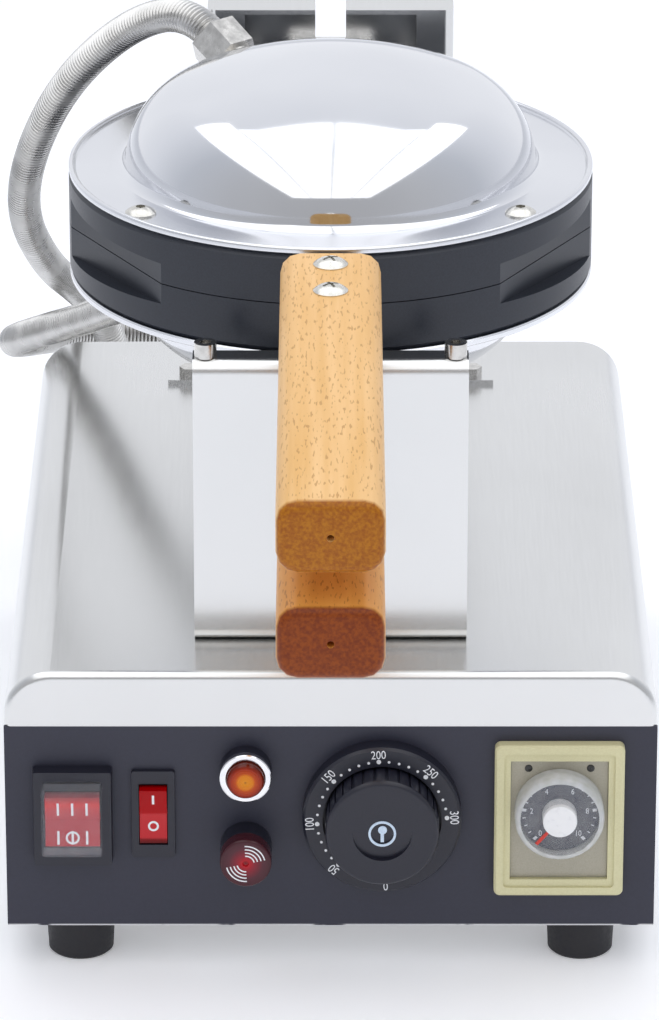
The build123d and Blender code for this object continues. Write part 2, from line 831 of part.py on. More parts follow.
def heater_ring():
    """Tubular heater seated in the casting's groove, with its two cold pins."""
    with BuildPart() as heater:
        with BuildSketch(Plane.XZ.offset(-pan_y)):
            with Locations((heater_radius, heater_z)):
                Circle(heater_tube)
        revolve(axis=Axis((0, pan_y, 0), (0, 0, 1)), revolution_arc=heater_sweep)
        with BuildSketch(Plane.XY.offset(heater_z)):
            with Locations(*terminal_places()):
                Circle(terminal_radius)
        extrude(amount=heater_tube + terminal_rise)
    return heater.part


def terminal_places():
    """Centres of the heater's two cold pins, just inside the ends of its ring."""
    turns = (radians(terminal_inset), radians(heater_sweep - terminal_inset))
    return [(heater_radius * cos(turn), pan_y + heater_radius * sin(turn)) for turn in turns]


def insulation_disc():
    """Fibre disc on the heater, with a hole for each cold pin."""
    with BuildPart() as disc:
        with BuildSketch(Plane.XY.offset(heater_top)):
            with Locations((0, pan_y)):
                Circle(insulation_radius)
            with Locations(*terminal_places()):
                Circle(terminal_radius + terminal_gap, mode=Mode.SUBTRACT)
        extrude(amount=insulation_thickness)
    return disc.part


def dome_arcs(inset):
    """Shoulder and crown of the dome's profile, inset from the outer surface."""
    centre_x = dome_radius - dome_shoulder
    centre_z = flange_top_z + dome_height - crown_radius
    lean = degrees(atan2(flange_top_z - centre_z, centre_x))
    CenterArc((centre_x, flange_top_z), dome_shoulder - inset, 0, lean)
    CenterArc((0, centre_z), crown_radius - inset, lean, 90 - lean)


def dome_solid(inset):
    """Solid of the dome down to the casting, inset from the outer surface."""
    with BuildPart() as dome:
        with BuildSketch(Plane.XZ.offset(-pan_y)):
            with BuildLine():
                dome_arcs(inset)
                Polyline(
                    (0, flange_top_z + dome_height - inset),
                    (0, pan_back_z),
                    (dome_radius - inset, pan_back_z),
                    (dome_radius - inset, flange_top_z),
                )
            make_face()
        revolve(axis=Axis((0, pan_y, 0), (0, 0, 1)))
    return dome.part


flange_screw_circle = 94
flange_screw_radius = 2.5
flange_screw_front = 39
flange_screw_rear = 50
flange_screw_turns = [
    -flange_screw_front,
    flange_screw_front - 180,
    flange_screw_rear,
    180 - flange_screw_rear,
]
flange_screw_places = [
    (flange_screw_circle * cos(radians(turn)), pan_y + flange_screw_circle * sin(radians(turn)))
    for turn in flange_screw_turns
]
flange_screw_head = 6
flange_screw_rise = 3
flange_screw_depth = 8
socket_radius = 2
gland_axis = Vector(-0.593, 0.659, 0.461)
gland_offset = Vector(-47, 75.6, 26.8)
gland_end = Vector(0, pan_y, flange_top_z) + gland_offset
gland_length = 14
gland_flats = 20
gland_collar = 8.4
gland_reach = 18.5
gland_bore_run = gland_length + 3 * conduit_radius


def gland_plane():
    """Plane across the upper hose's end of the gland, facing out along its axis."""
    return Plane(origin=gland_end, x_dir=gland_axis.cross(Vector(0, 0, 1)), z_dir=gland_axis)


def dome_cover():
    """Pressed cover: flange with a hemmed rim, dome, screw holes and the gland's hole."""
    with BuildPart() as cover:
        with BuildSketch(Plane.XZ.offset(-pan_y)) as profile:
            with BuildLine():
                dome_arcs(0)
                Polyline(
                    (0, flange_top_z + dome_height),
                    (0, pan_back_z),
                    (pan_radius, pan_back_z),
                    (pan_radius, pan_back_z + cover_hem),
                    (pan_radius - cover_hem, pan_back_z + cover_hem),
                    (pan_radius - cover_hem, flange_top_z),
                    (dome_radius, flange_top_z),
                )
            make_face()
            fillet(profile.vertices().sort_by_distance((dome_radius, flange_top_z))[0], dome_fillet)
        revolve(axis=Axis((0, pan_y, 0), (0, 0, 1)))
        add(dome_solid(cover_sheet), mode=Mode.SUBTRACT)
        with BuildSketch(Plane.XY.offset(pan_back_z)):
            with Locations(*flange_screw_places):
                Circle(flange_screw_radius + hole_gap)
        extrude(amount=2 * cover_sheet, mode=Mode.SUBTRACT)
        with BuildSketch(gland_plane()):
            Circle(stub_radius + hole_gap)
        extrude(amount=-gland_bore_run, mode=Mode.SUBTRACT)
    return cover.part


def cover_screws():
    """Button-head hex screws through the flange into the casting."""
    with BuildPart() as screws:
        with BuildSketch(Plane.XY.offset(flange_top_z)):
            with Locations(*flange_screw_places):
                Circle(flange_screw_head)
        extrude(amount=flange_screw_rise)
        chamfer(screws.edges().group_by(Axis.Z)[-1], flange_screw_rise - 1, flange_screw_rise)
        with BuildSketch(Plane.XY.offset(flange_top_z + flange_screw_rise)):
            with Locations(*flange_screw_places):
                RegularPolygon(socket_radius, hex_sides)
        extrude(amount=-flange_screw_rise / 2, mode=Mode.SUBTRACT)
        with BuildSketch(Plane.XY.offset(flange_top_z)):
            with Locations(*flange_screw_places):
                Circle(flange_screw_radius)
        extrude(amount=-flange_screw_depth)
    return screws.part


def dome_gland():
    """Hex gland on the dome: nut, collar trimmed to the dome, and a bored stub through it."""
    with BuildPart() as gland:
        with BuildSketch(gland_plane()):
            RegularPolygon(gland_flats / 2, hex_sides, major_radius=False)
        extrude(amount=-gland_length)
        with BuildSketch(gland_plane()):
            Circle(gland_collar)
        extrude(amount=-(gland_length + conduit_radius))
        add(dome_solid(0), mode=Mode.SUBTRACT)
        with BuildSketch(gland_plane()):
            Circle(stub_radius)
        extrude(amount=-gland_reach)
        with BuildSketch(gland_plane()):
            Circle(conduit_bore)
        extrude(amount=-gland_bore_run, mode=Mode.SUBTRACT)
    return gland.part


def screw_holes(casting):
    """Casting with a blind hole for each cover screw."""
    with BuildPart() as drilled:
        add(casting)
        with Locations(*[(x, y, pan_back_z) for x, y in flange_screw_places]):
            Hole(flange_screw_radius + hole_gap, depth=flange_screw_depth)
    return drilled.part


carrier_half = 10
lower_knuckle_inner = carrier_half + side_gap
upper_knuckle_inner = lower_knuckle_inner + knuckle_width + side_gap

upper_casting = screw_holes(pan_casting(upper_knuckle_inner))
lower_casting = screw_holes(pan_casting(lower_knuckle_inner))
keep(upper_casting, "upper_pan")
keep(mirror(lower_casting, about=parting), "lower_pan")
for made, what in (
    (beech_handle(), "handle"),
    (handle_screws(), "handle_screws"),
    (heater_ring(), "heater"),
    (insulation_disc(), "insulation"),
    (dome_cover(), "cover"),
    (cover_screws(), "cover_screws"),
    (dome_gland(), "hose_gland"),
):
    keep(mirror(made, about=parting), f"lower_{what}")
    keep(made, f"upper_{what}")

# Thermostat bulb, lying on the lower casting under the insulation
bulb_radius = (heater_top - pan_back_z) / 2
bulb_length = 60
with BuildPart() as sensor_bulb:
    with BuildSketch(Plane.YZ.offset(-bulb_length / 2)):
        with Locations((pan_y, 2 * axis_height - pan_back_z - bulb_radius)):
            Circle(bulb_radius)
    extrude(amount=bulb_length)
keep(sensor_bulb.part, "sensor_bulb")

# Hinge pin and the hinge block that carries the pans on the shaft
pin_half = upper_knuckle_inner + knuckle_width + 2
shaft_size = 6
collar_radius = 9
boss_radius = 12
boss_length = 12
boss_start = pin_y + knuckle_radius + 1
boss_end = boss_start + boss_length
bearing_thickness = 12
bearing_front = stand_y + stand_depth - stand_sheet - bearing_thickness
nut_gap = 0.3
shaft_nut_thickness = 8
shaft_nut_flats = 19
shaft_tip = 3
shaft_end = stand_y + stand_depth + nut_gap + shaft_nut_thickness + shaft_tip

with BuildPart() as hinge_pin:
    with BuildSketch(Plane.YZ.offset(-pin_half)):
        with Locations((pin_y, axis_height)):
            Circle(pin_radius)
    extrude(amount=2 * pin_half)
    chamfer(hinge_pin.edges().filter_by(GeomType.CIRCLE), small_break)
keep(hinge_pin.part, "hinge_pin")

with BuildPart() as hinge_block:
    with BuildSketch(Plane.YZ.offset(-carrier_half)):
        with Locations((pin_y, axis_height)):
            Circle(knuckle_radius)
        with Locations((pin_y, axis_height)):
            Rectangle(boss_start - pin_y, 2 * knuckle_radius, align=(Align.MIN, Align.CENTER))
        with Locations((pin_y, axis_height)):
            Circle(pin_radius + shaft_fit, mode=Mode.SUBTRACT)
    extrude(amount=2 * carrier_half)
    with BuildSketch(facing(boss_start)):
        with Locations((0, axis_height)):
            Circle(boss_radius)
    extrude(amount=-boss_length)
    with BuildSketch(facing(boss_end)):
        with Locations((0, axis_height)):
            Circle(shaft_size)
    extrude(amount=boss_length, mode=Mode.SUBTRACT)
keep(hinge_block.part, "hinge_block")

with BuildPart() as pivot_shaft:
    with BuildSketch(facing(boss_start)):
        with Locations((0, axis_height)):
            Circle(shaft_size)
    extrude(amount=-(shaft_end - boss_start))
    with BuildSketch(facing(boss_end)):
        with Locations((0, axis_height)):
            Circle(collar_radius)
    extrude(amount=-(bearing_front - fit_gap - boss_end))
keep(pivot_shaft.part, "pivot_shaft")

with BuildPart() as shaft_nut:
    with BuildSketch(facing(stand_y + stand_depth + nut_gap)):
        with Locations((0, axis_height)):
            RegularPolygon(shaft_nut_flats / 2, hex_sides, major_radius=False)
            Circle(shaft_size, mode=Mode.SUBTRACT)
    extrude(amount=-shaft_nut_thickness)
keep(shaft_nut.part, "shaft_nut")

# Rear stand: tray-shaped column, open to the front, with a U slot for the shaft
stand_top = axis_height + 35.5
stand_lip = 15.4
slot_half = 6.4
stand_tab_depth = 12
bearing_width = 40
bearing_height = 36
bearing_bolt_spacing = 28
bearing_bolt_z = axis_height - bearing_height / 4
bearing_corner = 5
bearing_fit = 0.06
with BuildPart() as rear_stand:
    with BuildSketch(Plane.XY.offset(deck_z)):
        with Locations((0, stand_y)):
            Rectangle(stand_width, stand_depth, align=(Align.CENTER, Align.MIN))
    extrude(amount=stand_top - deck_z)
    fillet(rear_stand.edges().filter_by(Axis.Z), 2 * stand_sheet)
    offset(amount=-stand_sheet, openings=rear_stand.faces().sort_by(Axis.Z)[0])
    with BuildSketch(facing(stand_y)):
        with Locations((0, deck_z)):
            Rectangle(
                stand_width - 2 * stand_lip,
                stand_top - stand_sheet - deck_z,
                align=(Align.CENTER, Align.MIN),
            )
    extrude(amount=-(stand_depth - 2 * stand_sheet), mode=Mode.SUBTRACT)
    with BuildSketch(facing(stand_y)):
        with Locations((0, axis_height)):
            Circle(slot_half)
            Rectangle(2 * slot_half, stand_top - axis_height + 1, align=(Align.CENTER, Align.MIN))
        with Locations((0, bearing_bolt_z)):
            with GridLocations(bearing_bolt_spacing, 0, 2, 1):
                Circle(bolt_radius + hole_gap)
    extrude(amount=-(stand_depth + 1), mode=Mode.SUBTRACT)
    with BuildSketch(Plane.XY.offset(deck_z)):
        with Locations((0, stand_y + stand_depth / 2)):
            with GridLocations(stand_width + stand_tab - stand_sheet, 0, 2, 1):
                Rectangle(stand_tab + stand_sheet, stand_tab_depth)
            with GridLocations(2 * stand_bolt_x, 0, 2, 1):
                Circle(bolt_radius + hole_gap, mode=Mode.SUBTRACT)
    extrude(amount=stand_sheet)
keep(rear_stand.part, "rear_stand")

with BuildPart() as bearing_block:
    with BuildSketch(facing(bearing_front)):
        with Locations((0, axis_height)):
            RectangleRounded(bearing_width, bearing_height, bearing_corner)
            Circle(shaft_size + bearing_fit, mode=Mode.SUBTRACT)
        with Locations((0, bearing_bolt_z)):
            with GridLocations(bearing_bolt_spacing, 0, 2, 1):
                Circle(bolt_radius + hole_gap, mode=Mode.SUBTRACT)
    extrude(amount=-bearing_thickness)
keep(bearing_block.part, "bearing_block")

bolt_head = 4.3
bolt_head_height = 5
hex_head_height = 4
bolt_stub = 4
with BuildPart() as bearing_bolts:
    with BuildSketch(facing(bearing_front)):
        with Locations((0, bearing_bolt_z)):
            with GridLocations(bearing_bolt_spacing, 0, 2, 1):
                Circle(bolt_head)
    extrude(amount=bolt_head_height)
    with BuildSketch(facing(bearing_front)):
        with Locations((0, bearing_bolt_z)):
            with GridLocations(bearing_bolt_spacing, 0, 2, 1):
                Circle(bolt_radius)
    extrude(amount=-(bearing_thickness + stand_sheet + bolt_stub))
keep(bearing_bolts.part, "bearing_bolts")

with BuildPart() as stand_bolts:
    with BuildSketch(Plane.XY.offset(deck_z + stand_sheet)):
        with Locations((0, stand_y + stand_depth / 2)):
            with GridLocations(2 * stand_bolt_x, 0, 2, 1):
                RegularPolygon(bolt_head, hex_sides)
    extrude(amount=hex_head_height)
    with BuildSketch(Plane.XY.offset(deck_z + stand_sheet)):
        with Locations((0, stand_y + stand_depth / 2)):
            with GridLocations(2 * stand_bolt_x, 0, 2, 1):
                Circle(bolt_radius)
    extrude(amount=-(stand_sheet + sheet + bolt_stub))
keep(stand_bolts.part, "stand_bolts")

# Front bracket: folded sheet that carries the necks on its top flange
bracket_bend = 5
bracket_top = axis_height - neck_radius - fit_gap
flange_depth = pan_y - pan_radius - 3 - bracket_y
with BuildPart() as front_bracket:
    with BuildSketch(Plane.YZ.offset(-bracket_width / 2)) as profile:
        with BuildLine():
            FilletPolyline(
                (bracket_y + flange_depth, bracket_top),
                (bracket_y, bracket_top),
                (bracket_y, deck_z),
                (bracket_y + bracket_foot, deck_z),
                radius=bracket_bend,
            )
            offset(amount=bracket_sheet, side=Side.LEFT)
        make_face()
    extrude(amount=bracket_width)
    with BuildSketch(Plane.XY.offset(deck_z)):
        with Locations((0, bracket_bolt_y)):
            with GridLocations(bracket_bolt_spacing, 0, 2, 1):
                Circle(bolt_radius + hole_gap)
    extrude(amount=2 * bracket_sheet, mode=Mode.SUBTRACT)
keep(front_bracket.part, "front_bracket")

rest_screw_x = 47.5
rest_screw_y = bracket_y + 7
rest_head_height = 5.7
rest_socket_radius = 2.3
rest_socket_depth = 2.5
with BuildPart() as rest_screws:
    with BuildSketch(Plane.XY.offset(bracket_top)):
        with Locations((-rest_screw_x, rest_screw_y), (rest_screw_x, rest_screw_y)):
            Circle(bolt_head)
    extrude(amount=rest_head_height)
    with BuildSketch(Plane.XY.offset(bracket_top + rest_head_height)):
        with Locations((-rest_screw_x, rest_screw_y), (rest_screw_x, rest_screw_y)):
            RegularPolygon(rest_socket_radius, hex_sides)
    extrude(amount=-rest_socket_depth, mode=Mode.SUBTRACT)
keep(rest_screws.part, "rest_screws")

with BuildPart() as bracket_bolts:
    with BuildSketch(Plane.XY.offset(deck_z + bracket_sheet)):
        with Locations((0, bracket_bolt_y)):
            with GridLocations(bracket_bolt_spacing, 0, 2, 1):
                RegularPolygon(bolt_head, hex_sides)
    extrude(amount=hex_head_height)
    with BuildSketch(Plane.XY.offset(deck_z + bracket_sheet)):
        with Locations((0, bracket_bolt_y)):
            with GridLocations(bracket_bolt_spacing, 0, 2, 1):
                Circle(bolt_radius)
    extrude(amount=-(bracket_sheet + sheet + bolt_stub))
keep(bracket_bolts.part, "bracket_bolts")

# Ribbed metal hoses: each run goes from a pan's gland round the left of the stand to its rear gland
rib_height = 0.8
rib_length = 6
cuff_length = 8
bend_share = 0.45
rib_rise = 0.2
rib_crest = 0.4
upper_lead = 17
lower_lead = 21
upper_route = [
    tuple(gland_end),
    tuple(gland_end + gland_axis * upper_lead),
    (-81, 186, 300),
    (-109, 211, 267),
    (-127, 236, 225),
    (-132, 268, 186),
    (-122, 298, 152),
    (-111, 328, 131),
    (-101, 357, 108),
    (-95, 364, 81),
    (-91, 353, 55),
    (-88, 330, 42),
    (upper_outlet[0], rear_y + rear_gland_length, upper_outlet[1]),
]
hose_split = 5
lower_start = [gland_end, gland_end + gland_axis * lower_lead]
lower_route = [(place.X, place.Y, 2 * axis_height - place.Z) for place in lower_start] + [
    (-78, 198, 176),
    (-98, 240, 152),
    (-121, 279, 131),
    (-139, 312, 113),
    (-139, 340, 101),
    (-124, 365, 94),
    (-99, 380, 91),
    (-62, 382, 89.5),
    (-28, 379, 89),
    (-4, 365, 88),
    (10, 340, 88),
    (lower_outlet[0], rear_y + rear_gland_length, lower_outlet[1]),
]


def bend_radii(points):
    """Radius of each bend, as large as its two runs allow."""
    radii = []
    for before, here, after in zip(points, points[1:], points[2:]):
        first = Vector(here) - Vector(before)
        second = Vector(after) - Vector(here)
        half_turn = radians(first.get_angle(second)) / 2
        radii.append(bend_share * min(first.length, second.length) / tan(half_turn))
    return radii


def rib_stations(length):
    """Distances along the hose and radii there, four circles to a rib between two plain cuffs."""
    count = int((length - 2 * cuff_length) // rib_length)
    pitch = (length - 2 * cuff_length) / count
    stations = [(0, conduit_radius - rib_height)]
    for rib in range(count):
        start = cuff_length + rib * pitch
        stations.append((start, conduit_radius - rib_height))
        stations.append((start + pitch * rib_rise, conduit_radius))
        stations.append((start + pitch * (rib_rise + rib_crest), conduit_radius))
        stations.append((start + pitch * (2 * rib_rise + rib_crest), conduit_radius - rib_height))
    stations.append((length, conduit_radius - rib_height))
    return stations


def ribbed_hose(points, name):
    """Ribbed hose with its bore along a route of straight runs and tangent bends."""
    radii = bend_radii(points)
    with BuildPart() as hose:
        with BuildLine() as route:
            FilletPolyline(*points, radius=radii)
        path = route.wires()[0]
        across = Vector(0, 0, 1).cross(path.tangent_at(0))
        for distance, radius in rib_stations(path.length):
            place = path.position_at(distance, position_mode=PositionMode.LENGTH)
            along = path.tangent_at(distance, position_mode=PositionMode.LENGTH)
            across = (across - along * across.dot(along)).normalized()
            with BuildSketch(Plane(origin=place, x_dir=across, z_dir=along)):
                Circle(radius)
        loft(ruled=True)
        with BuildSketch(Plane(origin=path.position_at(0), z_dir=path.tangent_at(0))):
            Circle(conduit_bore)
        sweep(path=path, mode=Mode.SUBTRACT)
    print(name, "length", round(path.length, 1), "radii", [round(radius, 1) for radius in radii])
    print(name, "volume over length", round(hose.part.volume / path.length, 1))
    keep(hose.part, name)


joint_place = (Vector(upper_route[hose_split]) + Vector(upper_route[hose_split + 1])) * 0.5
ribbed_hose(upper_route[: hose_split + 1] + [tuple(joint_place)], "upper_hose_lid_run")
ribbed_hose([tuple(joint_place)] + upper_route[hose_split + 1 :], "upper_hose_base_run")
ribbed_hose(lower_route, "lower_hose")
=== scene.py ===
from math import asin, atan2, cos, degrees, pi, radians, sin, sqrt

import bpy
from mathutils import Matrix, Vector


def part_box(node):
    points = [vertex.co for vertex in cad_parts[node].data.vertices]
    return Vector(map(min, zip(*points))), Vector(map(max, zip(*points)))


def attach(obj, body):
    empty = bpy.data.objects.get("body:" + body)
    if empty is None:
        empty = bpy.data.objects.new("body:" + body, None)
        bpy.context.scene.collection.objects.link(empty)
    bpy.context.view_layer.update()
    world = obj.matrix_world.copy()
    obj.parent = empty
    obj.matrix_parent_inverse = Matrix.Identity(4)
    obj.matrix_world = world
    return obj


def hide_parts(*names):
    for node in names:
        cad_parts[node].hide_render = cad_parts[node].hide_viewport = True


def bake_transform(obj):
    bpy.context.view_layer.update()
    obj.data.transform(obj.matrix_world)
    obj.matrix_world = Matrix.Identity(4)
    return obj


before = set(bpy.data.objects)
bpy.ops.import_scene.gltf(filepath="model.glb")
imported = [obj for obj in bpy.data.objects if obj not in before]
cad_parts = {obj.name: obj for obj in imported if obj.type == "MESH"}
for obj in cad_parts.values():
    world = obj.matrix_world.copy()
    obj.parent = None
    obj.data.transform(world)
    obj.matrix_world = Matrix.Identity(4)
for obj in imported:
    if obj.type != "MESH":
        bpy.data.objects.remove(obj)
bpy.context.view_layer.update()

# Driving sizes, in metres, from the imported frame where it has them
axis_height = 0.257
cover_low, cover_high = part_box("upper_cover")
pan_x = (cover_low.x + cover_high.x) / 2
pan_y = (cover_low.y + cover_high.y) / 2
pan_back = cover_low.z
cover_sheet = 0.0012
panel_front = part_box("control_panel")[0].y
ink = 0.00012

# Turns of a piece that is drawn along Z
upright = (0, 0, 0)
upside_down = (pi, 0, 0)
front_facing = (pi / 2, 0, 0)

# The photograph's camera, worked out from the machine's own edges
camera_place = (0, -2.2835, 1.1058)
camera_pitch = 67.53
camera_lens = 346.7
camera_shift = -0.0017


def make_camera():
    """The photograph's view of the machine."""
    camera = bpy.data.cameras.new("camera")
    camera.sensor_fit = "HORIZONTAL"
    camera.sensor_width = 36
    camera.lens = camera_lens
    camera.shift_x = camera_shift
    camera.clip_end = 20
    holder = bpy.data.objects.new("camera", camera)
    holder.location = camera_place
    holder.rotation_euler = (radians(camera_pitch), 0, 0)
    bpy.context.collection.objects.link(holder)
    bpy.context.scene.camera = holder


# Shader nodes and colours

ramp_ends = (0.3, 0.7)


def linear(code):
    """Linear colour of an sRGB hex code such as "#e8b777"."""
    parts = [int(code[i : i + 2], 16) / 255 for i in (1, 3, 5)]
    parts = [c / 12.92 if c <= 0.04045 else ((c + 0.055) / 1.055) ** 2.4 for c in parts]
    return (*parts, 1)


def add_node(tree, kind, inputs=None, stops=None, **settings):
    """Add a node with its settings, its ramp stops and its links.

    An input is a value, a socket, or a node whose first output in use feeds it.
    """
    node = tree.nodes.new("ShaderNode" + kind)
    for name, value in settings.items():
        setattr(node, name, value)
    for place, (position, colour) in enumerate(stops or []):
        elements = node.color_ramp.elements
        element = elements[place] if place < 2 else elements.new(position)
        element.position = position
        element.color = linear(colour) if isinstance(colour, str) else (colour, colour, colour, 1)
    feed(tree, node, inputs or {})
    return node


def feed(tree, node, inputs):
    """Set or link the named inputs of a node."""
    for name, value in inputs.items():
        if isinstance(value, bpy.types.Node):
            value = next(socket for socket in value.outputs if socket.enabled)
        if isinstance(value, bpy.types.NodeSocket):
            tree.links.new(value, node.inputs[name])
        else:
            node.inputs[name].default_value = value


def start_material(name, **values):
    """New material with its surface shader's own values; returns it, its tree, shader and place."""
    material = bpy.data.materials.new(name)
    material.use_nodes = True
    tree = material.node_tree
    shader = tree.nodes["Principled BSDF"]
    for socket, value in values.items():
        shader.inputs[socket.replace("_", " ")].default_value = value
    place = add_node(tree, "TexCoord").outputs["Object"]
    return material, tree, shader, place


def finish_surface(tree, shader, pattern, colours, roughness, height=0.0, strength=0.3):
    """Colour, roughness and relief of a surface from one pattern's grey level."""
    hue = add_node(tree, "ValToRGB", {"Fac": pattern}, list(zip(ramp_ends, colours)))
    sheen = add_node(tree, "ValToRGB", {"Fac": pattern}, list(zip(ramp_ends, roughness)))
    feed(tree, shader, {"Base Color": hue, "Roughness": sheen})
    if height:
        relief = add_node(
            tree, "Bump", {"Height": pattern, "Distance": height, "Strength": strength}
        )
        feed(tree, shader, {"Normal": relief})
    return hue


def reach_from(tree, place, centre, axes):
    """Distance of each point from a line through a centre, counted along two axes."""
    offset = add_node(tree, "Mapping", {"Vector": place, "Location": [-part for part in centre]})
    parts = add_node(tree, "SeparateXYZ", {"Vector": offset})
    flat = add_node(tree, "CombineXYZ", {axis: parts.outputs[axis] for axis in axes})
    return add_node(tree, "VectorMath", {0: flat}, operation="LENGTH").outputs["Value"]


# Materials


def satin_stainless():
    """Stainless sheet with a fine grain front to back: a soft, blurred mirror, faintly clouded."""
    material, tree, shader, place = start_material("satin_stainless", Metallic=1.0)
    along = add_node(tree, "Mapping", {"Vector": place, "Scale": (1, 0.03, 1)})
    grain = add_node(tree, "TexNoise", {"Vector": along, "Scale": 1400, "Detail": 2})
    cloud = add_node(tree, "TexNoise", {"Vector": place, "Scale": 7, "Detail": 3})
    both = add_node(tree, "Mix", {"Factor": 0.75, "A": grain, "B": cloud}, data_type="FLOAT")
    finish_surface(tree, shader, both, ("#d6d6d5", "#e2e2e1"), (0.2, 0.28), 0.00001, 0.12)
    return material


def spun_stainless():
    """Spun stainless cover: a buffed dome with a slight haze, left satin on its flange."""
    material, tree, shader, place = start_material("spun_stainless", Metallic=1.0)
    cloud = add_node(tree, "TexNoise", {"Vector": place, "Scale": 11, "Detail": 3})
    hue = add_node(tree, "ValToRGB", {"Fac": cloud}, [(0.3, "#dcdde1"), (0.7, "#e6e7ea")])
    reach = reach_from(tree, place, (pan_x, pan_y, 0), "XY")
    satin = add_node(
        tree, "MapRange",
        {"Value": reach, "From Min": 0.0835, "From Max": 0.0865, "To Min": 0.07, "To Max": 0.2},
    )
    sheen = add_node(tree, "MapRange", {"Value": cloud, "To Min": -0.02, "To Max": 0.03})
    roughness = add_node(tree, "Math", {0: satin, 1: sheen}, operation="ADD")
    feed(tree, shader, {"Base Color": hue, "Roughness": roughness})
    return material


def zinc_plate():
    """Bright zinc on small steel parts: slightly cloudy metal."""
    material, tree, shader, place = start_material("zinc_plate", Metallic=1.0)
    cloud = add_node(tree, "TexNoise", {"Vector": place, "Scale": 300, "Detail": 2})
    finish_surface(tree, shader, cloud, ("#c4c2be", "#dddbd7"), (0.16, 0.3))
    return material


def nickel_plate():
    """Polished nickel on the screw heads: bright, with a warm tint."""
    material, tree, shader, place = start_material("nickel_plate", Metallic=1.0)
    cloud = add_node(tree, "TexNoise", {"Vector": place, "Scale": 500, "Detail": 2})
    finish_surface(tree, shader, cloud, ("#c9c7c1", "#dddbd5"), (0.2, 0.3))
    return material


def coated_aluminium():
    """Cast aluminium under a dark non-stick coat: bluish black with a satin sheen and fine grit."""
    material, tree, shader, place = start_material("coated_aluminium", IOR=1.5)
    grit = add_node(tree, "TexNoise", {"Vector": place, "Scale": 1500, "Detail": 2})
    finish_surface(tree, shader, grit, ("#1d212b", "#272c37"), (0.34, 0.44), 0.00002, 0.4)
    return material


def slate_paint():
    """Stoved slate paint with a faint peel; thin bright wear along the bottom edge of the sheet."""
    material, tree, shader, place = start_material("slate_paint", IOR=1.5)
    peel = add_node(tree, "TexNoise", {"Vector": place, "Scale": 900, "Detail": 2})
    hue = finish_surface(tree, shader, peel, ("#2a2b3a", "#2f303f"), (0.42, 0.52), 0.00002, 0.3)
    height = add_node(tree, "SeparateXYZ", {"Vector": place}).outputs["Z"]
    edge = add_node(
        tree, "MapRange",
        {"Value": height, "From Min": 0.0184, "From Max": 0.0187, "To Min": 1.0, "To Max": 0.0},
    )
    rub = add_node(tree, "TexNoise", {"Vector": place, "Scale": 70, "Detail": 3})
    worn = add_node(tree, "ValToRGB", {"Fac": rub}, [(0.36, 0.0), (0.44, 1.0)])
    bare = add_node(tree, "Math", {0: edge, 1: worn}, operation="MULTIPLY")
    mixed = add_node(
        tree, "Mix", {"Factor": bare, "A": hue, "B": linear("#d8d8da")}, data_type="RGBA"
    )
    feed(tree, shader, {"Base Color": mixed})
    return material


def moulded_phenolic():
    """Black moulded plastic of the dial, knob and switch frames: fine satin grain."""
    material, tree, shader, place = start_material("moulded_phenolic", IOR=1.5)
    grain = add_node(tree, "TexNoise", {"Vector": place, "Scale": 2200, "Detail": 2})
    finish_surface(tree, shader, grain, ("#1b1c28", "#222330"), (0.3, 0.4), 0.00002, 0.3)
    return material


def foot_rubber():
    """Moulded rubber feet: dull black, dusty."""
    material, tree, shader, place = start_material("foot_rubber", IOR=1.52)
    grain = add_node(tree, "TexNoise", {"Vector": place, "Scale": 700, "Detail": 3})
    finish_surface(tree, shader, grain, ("#17161b", "#212026"), (0.5, 0.7), 0.00005, 0.5)
    return material


def switch_polycarbonate(name, node, stops):
    """Tinted polycarbonate of a lit switch: glossy, with painted highlight and painted shade in bands
    from its foot to its top.
    """
    material, tree, shader, place = start_material(name, IOR=1.4, Specular_IOR_Level=0.3)
    low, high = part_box(node)
    height = add_node(tree, "SeparateXYZ", {"Vector": place}).outputs["Z"]
    share = add_node(tree, "MapRange", {"Value": height, "From Min": low.z, "From Max": high.z})
    depth = add_node(tree, "TexNoise", {"Vector": place, "Scale": 120, "Detail": 2})
    # Painted highlight and painted shade: the colour stops by height stand in for light falling on the
    # rocker's two faces.
    hue = add_node(tree, "ValToRGB", {"Fac": share}, stops)
    sheen = add_node(tree, "ValToRGB", {"Fac": depth}, [(0.3, 0.16), (0.7, 0.24)])
    feed(tree, shader, {"Base Color": hue, "Roughness": sheen})
    return material


def buzzer_polycarbonate(centre):
    """Dark red translucent cap: a painted glow of bright red off centre, darker towards the rim."""
    material, tree, shader, place = start_material(
        "buzzer_polycarbonate", IOR=1.45, Specular_IOR_Level=0.4, Roughness=0.22
    )
    reach = reach_from(tree, place, centre, "XZ")
    grey = add_node(tree, "MapRange", {"Value": reach, "From Max": 0.0105})
    # Painted glow: the bright red ring near the middle stands in for light on a cap that is no lamp;
    # the colour darkens towards the rim.
    hue = add_node(
        tree, "ValToRGB", {"Fac": grey},
        [(0.0, "#6c0410"), (0.12, "#b80c1c"), (0.3, "#8c1c2c"), (0.62, "#542630"), (1.0, "#3c1820")],
    )
    feed(tree, shader, {"Base Color": hue})
    return material


